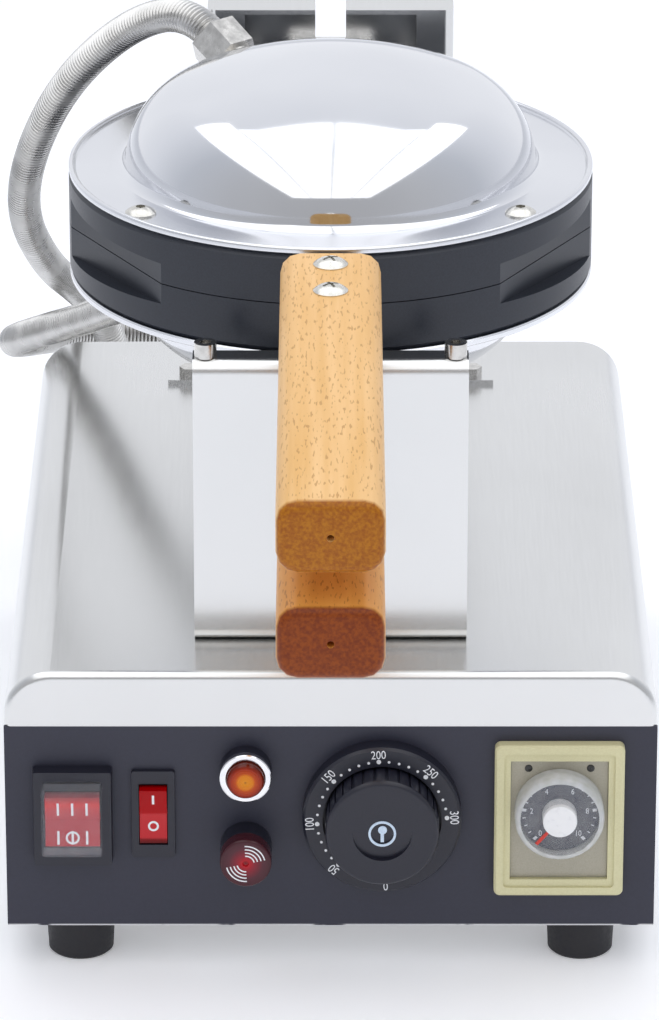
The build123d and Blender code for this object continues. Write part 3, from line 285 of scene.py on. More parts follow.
def lamp_polycarbonate(centre):
    """Amber lens: fine moulded rings, bright amber in the middle and deep orange at the rim."""
    material, tree, shader, place = start_material(
        "lamp_polycarbonate", IOR=1.45, Specular_IOR_Level=0.4, Roughness=0.2
    )
    reach = reach_from(tree, place, centre, "XZ")
    grey = add_node(tree, "MapRange", {"Value": reach, "From Max": 0.0072})
    hue = add_node(
        tree, "ValToRGB", {"Fac": grey},
        [(0.0, "#a86008"), (0.1, "#e08c04"), (0.4, "#dc7c04"), (0.52, "#c04a02"),
         (0.75, "#a42c00"), (0.9, "#7c1c00"), (1.0, "#5c1400")],
    )
    turns = add_node(tree, "Math", {0: reach, 1: 7000}, operation="MULTIPLY")
    waves = add_node(tree, "Math", {0: turns}, operation="SINE")
    relief = add_node(tree, "Bump", {"Height": waves, "Distance": 0.0001, "Strength": 0.4})
    feed(tree, shader, {"Base Color": hue, "Normal": relief})
    return material


def clear_acrylic(name, tint, alpha):
    """Thin clear acrylic: mostly what lies behind it, lightly scuffed."""
    material, tree, shader, place = start_material(name, IOR=1.49, Alpha=alpha)
    scuff = add_node(tree, "TexNoise", {"Vector": place, "Scale": 260, "Detail": 2})
    finish_surface(tree, shader, scuff, (tint, "#eef0f3"), (0.05, 0.12))
    return material


def chrome_plate():
    """Chromed bezel ring: bright mirror."""
    material, tree, shader, place = start_material("chrome_plate", Metallic=1.0)
    cloud = add_node(tree, "TexNoise", {"Vector": place, "Scale": 200, "Detail": 2})
    finish_surface(tree, shader, cloud, ("#e8e8ec", "#f4f4f6"), (0.1, 0.2))
    return material


def cream_abs():
    """Cream ABS frame of the timer: even, slightly waxy."""
    material, tree, shader, place = start_material("cream_abs", IOR=1.5)
    grain = add_node(tree, "TexNoise", {"Vector": place, "Scale": 1500, "Detail": 2})
    finish_surface(tree, shader, grain, ("#d6d0a4", "#ddd8ae"), (0.38, 0.5))
    return material


def silvered_plate():
    """Silver-beige printed aluminium face of the timer."""
    material, tree, shader, place = start_material("silvered_plate", Metallic=0.35)
    grain = add_node(tree, "TexNoise", {"Vector": place, "Scale": 2500, "Detail": 2})
    finish_surface(tree, shader, grain, ("#a5a090", "#b1ac9c"), (0.35, 0.5))
    return material


def gloss_plastic(name, dark, light):
    """Glossy moulded plastic."""
    material, tree, shader, place = start_material(name, IOR=1.5)
    cloud = add_node(tree, "TexNoise", {"Vector": place, "Scale": 400, "Detail": 2})
    finish_surface(tree, shader, cloud, (dark, light), (0.25, 0.35))
    return material


def printed_ink(name, dark, light):
    """Screen-printed marks: flat ink with slightly uneven cover."""
    material, tree, shader, place = start_material(name, IOR=1.45)
    cover = add_node(tree, "TexNoise", {"Vector": place, "Scale": 1800, "Detail": 2})
    finish_surface(tree, shader, cover, (dark, light), (0.45, 0.6))
    return material


def lacquered_beech(name, pale, mid, fleck, end_grain_and_shade_dark, end_grain_and_shade_light):
    """Lacquered beech: pale ground with short dark flecks along the grain; the front-facing end is
    darker, partly its end grain and partly painted shade.
    """
    material, tree, shader, place = start_material(name, IOR=1.45, Specular_IOR_Level=0.35)
    along = add_node(tree, "Mapping", {"Vector": place, "Scale": (1, 0.04, 1)})
    bands = add_node(tree, "TexNoise", {"Vector": along, "Scale": 230, "Detail": 3})
    hue = finish_surface(tree, shader, bands, (mid, pale), (0.36, 0.46))
    cells = add_node(tree, "Mapping", {"Vector": place, "Scale": (1, 0.16, 1)})
    rays = add_node(tree, "TexNoise", {"Vector": cells, "Scale": 1100, "Detail": 1})
    flecks = add_node(tree, "ValToRGB", {"Fac": rays}, [(0.33, 0.6), (0.385, 0.0)])
    long_grain = add_node(
        tree, "Mix", {"Factor": flecks, "A": hue, "B": linear(fleck)}, data_type="RGBA"
    )
    fibres = add_node(tree, "TexNoise", {"Vector": place, "Scale": 900, "Detail": 4})
    end_grain_and_shade_hue = add_node(
        tree, "ValToRGB", {"Fac": fibres}, [(0.35, end_grain_and_shade_dark), (0.65, end_grain_and_shade_light)]
    )
    # Painted shade on the front-facing end: faces turned to -Y get the darker end colours, partly real
    # end grain and partly shade.
    facing = add_node(
        tree, "SeparateXYZ", {"Vector": add_node(tree, "TexCoord").outputs["Normal"]}
    ).outputs["Y"]
    end = add_node(
        tree, "MapRange",
        {"Value": facing, "From Min": -0.6, "From Max": -0.25, "To Min": 1.0, "To Max": 0.0},
    )
    wood = add_node(
        tree, "Mix", {"Factor": end, "A": long_grain.outputs["Result"], "B": end_grain_and_shade_hue},
        data_type="RGBA",
    )
    relief = add_node(tree, "Bump", {"Height": rays, "Distance": 0.00006, "Strength": 0.3})
    feed(tree, shader, {"Base Color": wood, "Normal": relief})
    return material


def conduit_steel():
    """Galvanised strip wound into a flexible conduit: soft metal with dull patches."""
    material, tree, shader, place = start_material("conduit_steel", Metallic=1.0)
    cloud = add_node(tree, "TexNoise", {"Vector": place, "Scale": 90, "Detail": 3})
    finish_surface(tree, shader, cloud, ("#c2c1bf", "#dcdbd9"), (0.22, 0.32))
    return material


def fibre_felt():
    """Pressed ceramic fibre: matte and fluffy."""
    material, tree, shader, place = start_material("fibre_felt", IOR=1.4)
    fibres = add_node(tree, "TexNoise", {"Vector": place, "Scale": 1200, "Detail": 4})
    finish_surface(tree, shader, fibres, ("#c9c4b6", "#ebe7dc"), (0.8, 0.95))
    return material


def annealed_tube():
    """Heater and sensor tube: steel tinted brown and grey by heat."""
    material, tree, shader, place = start_material("annealed_tube", Metallic=1.0)
    tint = add_node(tree, "TexNoise", {"Vector": place, "Scale": 60, "Detail": 3})
    finish_surface(tree, shader, tint, ("#6b5a49", "#8f8a86"), (0.4, 0.6))
    return material


def make_finishes():
    """Every finish, by a short name."""
    return {
        "satin": satin_stainless(),
        "dome": spun_stainless(),
        "zinc": zinc_plate(),
        "nickel": nickel_plate(),
        "casting": coated_aluminium(),
        "paint": slate_paint(),
        "black": moulded_phenolic(),
        "rubber": foot_rubber(),
        # The rockers' colour stops by height are painted highlight and painted shade, not a tint.
        "red": switch_polycarbonate(
            "red_polycarbonate", "power_rocker",
            [(0.0, "#b8222c"), (0.5, "#b82a34"), (0.72, "#cc3436"), (0.8, "#e0241c"),
             (1.0, "#8a141c")],
        ),
        "deep_red": switch_polycarbonate(
            "deep_red_polycarbonate", "alarm_rocker",
            [(0.0, "#5c0408"), (0.06, "#7c080c"), (0.1, "#c42c32"), (0.5, "#c83438"),
             (0.54, "#b00008"), (1.0, "#a80006")],
        ),
        "buzzer": buzzer_polycarbonate(middle("buzzer_cap")),
        "lamp": lamp_polycarbonate(middle("pilot_lens")),
        "cover": clear_acrylic("clear_acrylic", "#c8ccd6", 0.08),
        "skirt": clear_acrylic("frosted_acrylic", "#dadcd8", 0.6),
        "window": clear_acrylic("thin_acrylic", "#c8ccd6", 0.1),
        "chrome": chrome_plate(),
        "cream": cream_abs(),
        "face": silvered_plate(),
        "white": gloss_plastic("white_abs", "#f2f2f3", "#f6f6f6"),
        "ceramic": gloss_plastic("terminal_ceramic", "#d8d6cc", "#e6e4da"),
        "scale": gloss_plastic("grey_scale", "#3c3d47", "#45464f"),
        "ink": printed_ink("white_ink", "#e8ebf0", "#fbfbfc"),
        "icon_ink": printed_ink("pale_blue_ink", "#c3d6ea", "#d6e6f6"),
        "pointer_ink": printed_ink("pointer_red", "#c8382e", "#e0483c"),
        "smoked": gloss_plastic("smoked_plastic", "#2a2a28", "#383836"),
        "upper_wood": lacquered_beech(
            "beech_pale", "#eec288", "#e2b06a", "#ac7838", "#985208", "#b4700e"
        ),
        # The lower handle's beech is a darker copy of the upper's: painted shade, as it lies under the
        # upper handle, with its front end darker still.
        "lower_wood": lacquered_beech(
            "beech_in_painted_shade", "#dc9c4c", "#cc8a38", "#8c5018", "#742c00", "#904200"
        ),
        "conduit": conduit_steel(),
        "felt": fibre_felt(),
        "tube": annealed_tube(),
    }


def dress_nodes():
    """Give every CAD node its finish."""
    dressed = {
        "satin": ["housing", "front_bracket", "rear_stand", "bottom_plate"],
        "dome": ["upper_cover", "lower_cover"],
        "zinc": [
            "foot_screws", "upper_hose_outlet", "lower_hose_outlet", "bearing_block",
            "bearing_bolts", "stand_bolts", "rest_screws", "bracket_bolts", "lower_hose_gland",
            "upper_hose_gland",
            "hinge_pin", "hinge_block", "pivot_shaft", "shaft_nut", "thermostat",
        ],
        "nickel": [
            "lower_handle_screws", "upper_handle_screws", "lower_cover_screws", "upper_cover_screws",
        ],
        "casting": ["upper_pan", "lower_pan"],
        "paint": ["control_panel"],
        "black": [
            "power_switch_frame", "alarm_switch_frame", "buzzer_body", "dial_plate",
            "thermostat_knob", "cord_gland",
        ],
        "rubber": ["feet"],
        "red": ["power_rocker"],
        "deep_red": ["alarm_rocker"],
        "buzzer": ["buzzer_cap"],
        "lamp": ["pilot_lens"],
        "cover": ["splash_cover"],
        "skirt": ["timer_skirt"],
        "chrome": ["pilot_ring"],
        "cream": ["timer_frame"],
        "face": ["timer_face"],
        "white": ["timer_knob"],
        "ceramic": ["terminal_block"],
        "upper_wood": ["upper_handle"],
        "lower_wood": ["lower_handle"],
        "felt": ["upper_insulation", "lower_insulation"],
        "tube": ["upper_heater", "lower_heater", "sensor_bulb"],
    }
    for finish, names in dressed.items():
        for name in names:
            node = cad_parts[name]
            node.data.materials.clear()
            node.data.materials.append(finishes[finish])


# Modelling helpers


def clear_selection():
    if bpy.context.object and bpy.context.object.mode != "OBJECT":
        bpy.ops.object.mode_set(mode="OBJECT")
    bpy.ops.object.select_all(action="DESELECT")


def pick(piece):
    """Make one piece the selected and active one."""
    clear_selection()
    piece.select_set(True)
    bpy.context.view_layer.objects.active = piece


def settle(piece, place=(0, 0, 0), turn_to=(0, 0, 0)):
    """Put a piece's place and turn into its mesh."""
    pick(piece)
    piece.rotation_euler = turn_to
    piece.location = place
    bpy.ops.object.transform_apply(location=True, rotation=True, scale=True)
    return piece


def finish(pieces, name, finish_name, body, nodes=(), smooth=35):
    """Join pieces of one finish, name them, smooth them, let them ride and stand for their nodes."""
    clear_selection()
    for piece in pieces:
        piece.select_set(True)
    bpy.context.view_layer.objects.active = pieces[0]
    if len(pieces) > 1:
        bpy.ops.object.join()
    piece = bpy.context.object
    piece.name = name
    piece.data.materials.clear()
    piece.data.materials.append(finishes[finish_name])
    bpy.ops.object.shade_smooth_by_angle(angle=radians(smooth))
    if nodes:
        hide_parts(*nodes)
    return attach(piece, body)


def copy_piece(piece):
    """Copy of a piece with its own mesh."""
    double = piece.copy()
    double.data = piece.data.copy()
    bpy.context.collection.objects.link(double)
    return double


def select_faces(piece, wanted):
    """Enter edit mode with the faces selected that pass a test on their centre and normal."""
    pick(piece)
    bpy.ops.object.mode_set(mode="EDIT")
    bpy.ops.mesh.select_mode(type="FACE")
    bpy.ops.mesh.select_all(action="DESELECT")
    bpy.ops.object.mode_set(mode="OBJECT")
    for face in piece.data.polygons:
        face.select = wanted(face.center, face.normal)
    bpy.ops.object.mode_set(mode="EDIT")


def turned(profile, sides=96):
    """Turned solid about Z, drawn ring by ring from (radius, height) pairs and closed."""
    clear_selection()
    radius, height = profile[0]
    bpy.ops.mesh.primitive_circle_add(
        vertices=sides, radius=radius, fill_type="NGON", location=(0, 0, height)
    )
    bpy.ops.object.transform_apply(location=True, rotation=False, scale=False)
    bpy.ops.object.mode_set(mode="EDIT")
    for (before, low), (after, high) in zip(profile, profile[1:]):
        bpy.ops.mesh.extrude_region_move(TRANSFORM_OT_translate={"value": (0, 0, high - low)})
        grow = after / before
        bpy.ops.transform.resize(value=(grow, grow, 1), center_override=(0, 0, high))
    bpy.ops.mesh.select_mode(type="EDGE")
    bpy.ops.mesh.select_all(action="DESELECT")
    bpy.ops.mesh.select_non_manifold()
    bpy.ops.mesh.edge_face_add()
    bpy.ops.mesh.select_all(action="SELECT")
    bpy.ops.mesh.normals_make_consistent(inside=False)
    bpy.ops.object.mode_set(mode="OBJECT")
    return bpy.context.object


def arc(centre, radius, start, end, steps):
    """(radius, height) pairs along an arc between two angles in degrees."""
    turns = [radians(start + (end - start) * step / steps) for step in range(steps + 1)]
    return [(centre[0] + radius * cos(turn), centre[1] + radius * sin(turn)) for turn in turns]


def cut(piece, cutter):
    """Cut a closed shape out of a piece."""
    tool = piece.modifiers.new("cut", "BOOLEAN")
    tool.operation = "DIFFERENCE"
    tool.solver = "EXACT"
    tool.object = cutter
    pick(piece)
    bpy.ops.object.modifier_apply(modifier="cut")
    bpy.data.objects.remove(cutter)


def block(size, place=(0, 0, 0), edge=0.0, turn_to=(0, 0, 0)):
    """Block with its edges rounded, turned about its own middle."""
    clear_selection()
    bpy.ops.mesh.primitive_cube_add(size=1)
    shape = bpy.context.object
    shape.scale = size
    bpy.ops.object.transform_apply(location=False, rotation=False, scale=True)
    if edge:
        bpy.ops.object.mode_set(mode="EDIT")
        bpy.ops.mesh.select_all(action="SELECT")
        bpy.ops.mesh.bevel(offset=edge, segments=2, affect="EDGES")
        bpy.ops.object.mode_set(mode="OBJECT")
    return settle(shape, place, turn_to)


def rod(radius, low, high, sides=24):
    """Short round bar along Z."""
    return turned([(radius, low), (radius, high)], sides)


def ring_band(inner, outer, depth, start=0, end=360, sides=72):
    """Flat ring about Z, or its part between two angles clockwise from +Y, with some depth."""
    clear_selection()
    bpy.ops.mesh.primitive_circle_add(vertices=sides, radius=outer, fill_type="NGON")
    ring = bpy.context.object
    bpy.ops.object.mode_set(mode="EDIT")
    bpy.ops.mesh.select_all(action="SELECT")
    bpy.ops.mesh.inset(thickness=outer - inner)
    bpy.ops.mesh.delete(type="FACE")
    bpy.ops.object.mode_set(mode="OBJECT")
    if end - start < 360:

        def outside(place, normal):
            """Test for the faces beyond the two angles."""
            return (degrees(atan2(place.x, place.y)) - start) % 360 > end - start

        select_faces(ring, outside)
        bpy.ops.mesh.delete(type="FACE")
    else:
        bpy.ops.object.mode_set(mode="EDIT")
    bpy.ops.mesh.select_all(action="SELECT")
    bpy.ops.mesh.extrude_region_move(TRANSFORM_OT_translate={"value": (0, 0, depth)})
    bpy.ops.mesh.select_all(action="SELECT")
    bpy.ops.mesh.normals_make_consistent(inside=False)
    bpy.ops.object.mode_set(mode="OBJECT")
    return ring


def number(words, height, narrow=0.8):
    """Number as a thin mesh, centred on the origin and facing +Z."""
    clear_selection()
    bpy.ops.object.text_add()
    writing = bpy.context.object
    writing.data.body = words
    writing.data.size = 1
    writing.data.align_x = "CENTER"
    writing.data.extrude = ink / height / 2
    bpy.ops.object.convert(target="MESH")
    shape = bpy.context.object
    tops = [vertex.co.y for vertex in shape.data.vertices]
    rise = max(tops) - min(tops)
    scale = height / rise
    shape.scale = (scale * narrow, scale, height)
    bpy.ops.object.transform_apply(location=False, rotation=False, scale=True)
    return settle(shape, (0, -(max(tops) + min(tops)) / 2 * scale, 0))


def middle(node):
    """Middle of a node's box."""
    low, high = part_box(node)
    return (low + high) / 2


def measure(node):
    """Middle, radius, depth, front and back of a node that is round about Y."""
    low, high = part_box(node)
    return (low + high) / 2, (high.x - low.x) / 2, high.y - low.y, low.y, high.y


def both_sides(height):
    """The upper and the lower side, with a piece's height and turn there."""
    return (("upper", height, upright), ("lower", 2 * axis_height - height, upside_down))


def on_dial(centre, reach, turn, y):
    """Place on a dial, turn degrees clockwise from its top."""
    return (centre.x + reach * sin(radians(turn)), y, centre.z + reach * cos(radians(turn)))


# Ribbed hoses

rib_pitch = 0.0018
rib_crest = 0.007
rib_shoulder = 0.0066
rib_valley = 0.0055
rib_sides = 24
rib_shape = ((0.16, rib_shoulder), (0.5, rib_crest), (0.84, rib_shoulder), (1.0, rib_valley))

upper_lid_route = [
    (-0.047, 0.151, 0.305),
    (-0.0571, 0.1622, 0.3128),
    (-0.081, 0.186, 0.3),
    (-0.109, 0.211, 0.267),
    (-0.127, 0.236, 0.225),
    (-0.132, 0.268, 0.186),
    (-0.127, 0.283, 0.169),
]
upper_base_route = [
    (-0.127, 0.283, 0.169),
    (-0.122, 0.298, 0.152),
    (-0.111, 0.328, 0.131),
    (-0.101, 0.357, 0.108),
    (-0.095, 0.364, 0.081),
    (-0.091, 0.353, 0.055),
    (-0.088, 0.33, 0.042),
    (-0.088, 0.304, 0.042),
]
lower_route = [
    (-0.047, 0.151, 0.209),
    (-0.0595, 0.1648, 0.1993),
    (-0.078, 0.198, 0.176),
    (-0.098, 0.24, 0.152),
    (-0.121, 0.279, 0.131),
    (-0.139, 0.312, 0.113),
    (-0.139, 0.34, 0.101),
    (-0.124, 0.365, 0.094),
    (-0.099, 0.38, 0.091),
    (-0.062, 0.382, 0.0895),
    (-0.028, 0.379, 0.089),
    (-0.004, 0.365, 0.088),
    (0.01, 0.34, 0.088),
    (0.01, 0.304, 0.088),
]


def route_curve(name, points):
    """Smooth route with the given control points."""
    curve = bpy.data.curves.new(name, "CURVE")
    curve.dimensions = "3D"
    curve.resolution_u = 24
    spline = curve.splines.new("NURBS")
    spline.points.add(len(points) - 1)
    for point, place in zip(spline.points, points):
        point.co = (*place, 1)
    spline.order_u = 3
    spline.use_endpoint_u = True
    holder = bpy.data.objects.new(name, curve)
    bpy.context.collection.objects.link(holder)
    return holder


def route_points(holder):
    """Points along the smooth route."""
    mesh = bpy.data.meshes.new_from_object(holder)
    points = [vertex.co.copy() for vertex in mesh.vertices]
    bpy.data.meshes.remove(mesh)
    return points


def ribbed_hose(name, points):
    """One rib is drawn, repeated along the route's length and bent to it."""
    holder = route_curve(name + "_route", points)
    path = route_points(holder)
    clear_selection()
    bpy.ops.mesh.primitive_circle_add(
        vertices=rib_sides, radius=rib_valley, rotation=(0, pi / 2, 0), location=(0, 0, 0)
    )
    rib = bpy.context.object
    bpy.ops.object.transform_apply(rotation=True)
    bpy.ops.object.mode_set(mode="EDIT")
    gone, size = 0.0, rib_valley
    for share, radius in rib_shape:
        step = rib_pitch * (share - gone)
        bpy.ops.mesh.extrude_region_move(TRANSFORM_OT_translate={"value": (step, 0, 0)})
        bpy.ops.transform.resize(value=(1, radius / size, radius / size), center_override=(0, 0, 0))
        gone, size = share, radius
    bpy.ops.mesh.select_all(action="SELECT")
    bpy.ops.mesh.normals_make_consistent(inside=False)
    bpy.ops.object.mode_set(mode="OBJECT")
    repeat = rib.modifiers.new("repeat", "ARRAY")
    repeat.fit_type = "FIT_CURVE"
    repeat.curve = holder
    repeat.relative_offset_displace = (1, 0, 0)
    repeat.use_merge_vertices = True
    repeat.merge_threshold = 0.00005
    follow = rib.modifiers.new("follow", "CURVE")
    follow.object = holder
    follow.deform_axis = "POS_X"
    bpy.ops.object.modifier_apply(modifier="repeat")
    bpy.ops.object.modifier_apply(modifier="follow")
    bpy.ops.object.shade_smooth_by_angle(angle=radians(50))
    rib.name = name
    rib.data.materials.append(finishes["conduit"])
    bpy.data.objects.remove(holder)
    return rib, path


def make_hoses():
    """Both runs of the upper hose, and the lower hose."""
    for name, points, node, bodies in (
        ("upper_hose_lid_side", upper_lid_route, "upper_hose_lid_run", ("upper_pan", "lower_pan")),
        ("upper_hose_base_side", upper_base_route, "upper_hose_base_run", ("lower_pan", "base")),
        ("lower_hose_ribbed", lower_route, "lower_hose", ("lower_pan", "base")),
    ):
        piece, path = ribbed_hose(name, points)
        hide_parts(node)
        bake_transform(piece)


# Covers and screws

crown_radius = 0.16018
shoulder_radius = 0.034
dome_radius = 0.0808
dome_rise = 0.043
dome_foot = 0.004
hem_width = 0.0022
cover_sides = 128
cover_screw_circle = 0.094
cover_screw_turns = (-39, -141, 50, 130)
cover_screw_radius = 0.006
screw_rise = 0.003
socket_radius = 0.002
head_sides = 40
handle_screw_places = (-0.073, -0.101)
handle_screw_radius = 0.0065
shank_radius = 0.0026
shank_length = 0.0228
cross_width = 0.0011
cross_length = 0.0062
cross_turn = 28


def cover_profile():
    """Outline of a dome cover from its rim to its crown, above the back of the pan."""
    rim = cover_high.x - pan_x
    floor = cover_sheet
    shoulder = dome_radius - shoulder_radius
    crown_centre = floor + dome_rise - crown_radius
    reach = sqrt((shoulder_radius + dome_foot) ** 2 - dome_foot**2)
    foot_turn = degrees(asin(dome_foot / (shoulder_radius + dome_foot)))
    crown_turn = degrees(atan2(floor - crown_centre, shoulder))
    curl = hem_width / 2
    profile = [(rim - curl / 2, 0), (rim, curl / 2)]
    profile += arc((rim - curl, floor + curl / 2), curl, 0, 180, 8)
    profile += [(rim - hem_width - curl / 2, floor)]
    profile += arc((shoulder + reach, floor + dome_foot), dome_foot, 270, 180 + foot_turn, 6)
    profile += arc((shoulder, floor), shoulder_radius, foot_turn, crown_turn, 20)[1:]
    profile += arc((0, crown_centre), crown_radius, crown_turn, 89.3, 16)[1:]
    return profile


def make_covers():
    """Spun domes with a rolled hem, one on each pan."""
    for side, back, turn_to in both_sides(pan_back):
        dome = turned(cover_profile(), cover_sides)
        settle(dome, (pan_x, pan_y, back), turn_to)
        finish([dome], f"{side}_dome", "dome", f"{side}_pan", [f"{side}_cover"], smooth=28)


def head_profile(radius, edge):
    """Outline of a screw head: a short upright edge under a rounded crown."""
    rise = screw_rise - edge
    crown = (radius**2 + rise**2) / (2 * rise)
    start = degrees(asin((crown - rise) / crown))
    return [(radius, 0), (radius, edge)] + arc((0, screw_rise - crown), crown, start, 87, 9)[1:]


def make_cover_screws():
    """Four button-head screws with a hexagon socket in each cover's flange."""
    for side, back, turn_to in both_sides(pan_back + cover_sheet):
        first = turned(head_profile(cover_screw_radius, 0.0006), head_sides)
        cut(first, rod(socket_radius, screw_rise * 0.35, screw_rise * 2, 6))
        heads = [first] + [copy_piece(first) for turn in cover_screw_turns[1:]]
        for head, turn in zip(heads, cover_screw_turns):
            x = pan_x + cover_screw_circle * cos(radians(turn))
            y = pan_y + cover_screw_circle * sin(radians(turn))
            settle(head, (x, y, back), turn_to)
        finish(heads, f"{side}_flange_screws", "nickel", f"{side}_pan", [f"{side}_cover_screws"])


def make_handle_screws():
    """Two domed cross-head screws through each handle."""
    for side, height, turn_to in both_sides(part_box("upper_handle")[1].z):
        profile = [(shank_radius, -shank_length), (shank_radius, 0)]
        first = turned(profile + head_profile(handle_screw_radius, 0.0004), head_sides)
        for width, depth in ((cross_width, cross_length), (cross_length, cross_width)):
            place = (0, 0, screw_rise + 0.0002)
            slot = block((width, depth, screw_rise), place, turn_to=(0, 0, radians(cross_turn)))
            cut(first, slot)
        screws = [first, copy_piece(first)]
        for screw, y in zip(screws, handle_screw_places):
            settle(screw, (0, y, height), turn_to)
        name = f"{side}_handle_cross_screws"
        finish(screws, name, "nickel", f"{side}_pan", [f"{side}_handle_screws"])


# Beech handles

handle_shoulder = 0.0075
handle_end_round = 0.0035
pilot_radius = 0.0013
pilot_length = 0.02


def round_edges(piece, wanted, offset, segments):
    """Bevel the edges of a piece whose two ends pass a test."""
    pick(piece)
    bpy.ops.object.mode_set(mode="EDIT")
    bpy.ops.mesh.select_mode(type="EDGE")
    bpy.ops.mesh.select_all(action="DESELECT")
    bpy.ops.object.mode_set(mode="OBJECT")
    for edge in piece.data.edges:
        first, second = (piece.data.vertices[index].co for index in edge.vertices)
        edge.select = wanted(first, second)
    bpy.ops.object.mode_set(mode="EDIT")
    bpy.ops.mesh.bevel(offset=offset, segments=segments, affect="EDGES")
    bpy.ops.object.mode_set(mode="OBJECT")


def make_handles():
    """Beech handles: a bar with rounded shoulders, its free end turned over, and a pilot hole."""
    for side in ("upper", "lower"):
        low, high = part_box(f"{side}_handle")
        centre = (low + high) / 2
        end = low.y + 0.0001
        grip = block(high - low, centre)
        round_edges(grip, lambda one, two: abs(one.y - two.y) > 0.1, handle_shoulder, 3)
        round_edges(grip, lambda one, two: max(one.y, two.y) < end, handle_end_round, 4)
        pilot = rod(pilot_radius, 0, pilot_length, 20)
        settle(pilot, (centre.x, low.y + pilot_length / 2, centre.z), front_facing)
        cut(grip, pilot)
        finish([grip], f"{side}_grip", f"{side}_wood", f"{side}_pan", [f"{side}_handle"], smooth=40)


# Thermostat

first_mark_turn = -183
turn_per_degree = 0.9
dot_reach = 0.0249
small_dot = 0.00054
large_dot = 0.0009
dial_number_reach = 0.0278
dial_number_height = 0.0034
knob_sides = 120
knob_brow = 0.0018
knob_foot = 0.0004
knob_dish = 0.0006
flute_depth = 0.0007
flute_every = 4
dimple_radius = 0.0113
dimple_lean = 8.5
sign_depth = 0.0005


def make_dial_marks():
    """White dots every ten degrees of heat and a number every fifty, round the dial plate."""
    centre, front = middle("dial_plate"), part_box("dial_plate")[0].y
    marks = []
    for heat in range(0, 301, 10):
        turn = first_mark_turn + turn_per_degree * heat
        large = heat % 50 == 0
        dot = rod(large_dot if large else small_dot, -ink / 2, ink, 16)
        marks.append(settle(dot, on_dial(centre, dot_reach, turn, front), front_facing))
        if large:
            writing = number(str(heat), dial_number_height)
            place = on_dial(centre, dial_number_reach, turn, front)
            marks.append(settle(writing, place, (pi / 2, radians(turn), 0)))
    finish(marks, "dial_numbers", "ink", "base")


def make_thermostat_knob():
    """Fluted knob with a rounded brow, and a finger dimple that leans into its face."""
    centre, radius, depth, _, back = measure("thermostat_knob")
    brow_start = depth - knob_brow
    face = depth - knob_dish
    profile = [(radius - knob_foot, 0), (radius, knob_foot), (radius, depth * 0.3)]
    profile += [(radius, brow_start)]
    profile += arc((radius - knob_brow, brow_start), knob_brow, 0, 90, 5)[1:]
    profile += [(radius * 0.75, depth - knob_dish / 2), (radius * 0.3, face), (0.001, face)]
    knob = turned(profile, knob_sides)

    def in_flute(place, normal):
        """Test for the wall's faces in the columns that the flutes take up."""
        column = int(round(degrees(atan2(place.y, place.x)) / (360 / knob_sides) - 0.5))
        on_wall = abs(normal.z) < 0.2 and knob_foot < place.z < brow_start
        return on_wall and column % flute_every == 0

    select_faces(knob, in_flute)
    bpy.ops.mesh.extrude_region_shrink_fatten(TRANSFORM_OT_shrink_fatten={"value": -flute_depth})
    bpy.ops.object.mode_set(mode="OBJECT")
    dimple = rod(dimple_radius, 0, 0.01, 72)
    settle(dimple, (0, 0, face), (radians(dimple_lean), 0, 0))
    cut(knob, dimple)
    settle(knob, (centre.x, back, centre.z), front_facing)
    finish([knob], "knob_fluted", "black", "thermostat_knob", ["thermostat_knob"], smooth=40)


def make_knob_sign():
    """Printed sign of a thermometer in a ring, in the middle of the knob."""
    centre = middle("thermostat_knob")
    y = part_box("thermostat_knob")[0].y + 0.0007
    ring = ring_band(0.0044, 0.0053, sign_depth)
    settle(ring, (centre.x, y, centre.z), front_facing)
    bulb = rod(0.0017, 0, sign_depth)
    settle(bulb, (centre.x + 0.0001, y, centre.z + 0.0016), front_facing)
    stem = block((0.0013, 0.0046, 0.00045))
    settle(stem, (centre.x, y - 0.0003, centre.z - 0.0011), front_facing)
    finish([ring, bulb, stem], "knob_sign", "icon_ink", "thermostat_knob")


# Timer

scale_radius = 0.0154
scale_depth = 0.0042
scale_edge = 0.0002
zero_turn = 137.5
tick_turn = 13.75
tick_reach = 0.0136
timer_number_reach = 0.0108
timer_number_height = 0.0023
lamp_window_x = 0.0119
lamp_window_z = 0.0859
skirt_wall = 0.0011
skirt_lip = 0.0022
pointer_size = (0.0013, 0.0066, ink * 2)
pointer_reach = 0.0102
pointer_turn = -138.5
stem_radius = 0.0025
stem_length = 0.0073


def make_timer_scale():
    """Dark round scale behind the clear skirt, with its ticks and numbers."""
    centre = middle("timer_knob")
    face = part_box("timer_face")[0].y
    rim = scale_radius - scale_edge
    profile = [(rim, 0), (scale_radius, scale_edge)]
    profile += [(scale_radius, scale_depth - scale_edge), (rim, scale_depth)]
    disc = turned(profile, 72)
    settle(disc, (centre.x, face, centre.z), front_facing)
    finish([disc], "timer_scale", "scale", "base")
    marks = []
    for step in range(21):
        turn = tick_turn * step - zero_turn
        strong = step % 4 == 0
        tick = block((0.0012 if strong else 0.0004, 0.0016 if strong else 0.0012, ink))
        place = on_dial(centre, tick_reach, turn, face - scale_depth)
        marks.append(settle(tick, place, (pi / 2, radians(turn), 0)))
        if strong:
            writing = number(str(step // 2), timer_number_height)
            place = on_dial(centre, timer_number_reach, turn, face - scale_depth)
            marks.append(settle(writing, place, front_facing))
    finish(marks, "timer_numbers", "ink", "base")


def make_timer_lamps():
    """Two small smoked lamp windows in the top corners of the timer's face."""
    centre = middle("timer_face")
    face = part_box("timer_face")[0].y
    windows = []
    for x in (-lamp_window_x, lamp_window_x):
        window = turned([(0.0015, -0.0004), (0.0015, 0.0002), (0.0011, 0.0004)], 24)
        windows.append(settle(window, (centre.x + x, face, lamp_window_z), front_facing))
    finish(windows, "timer_lamp_windows", "smoked", "base")


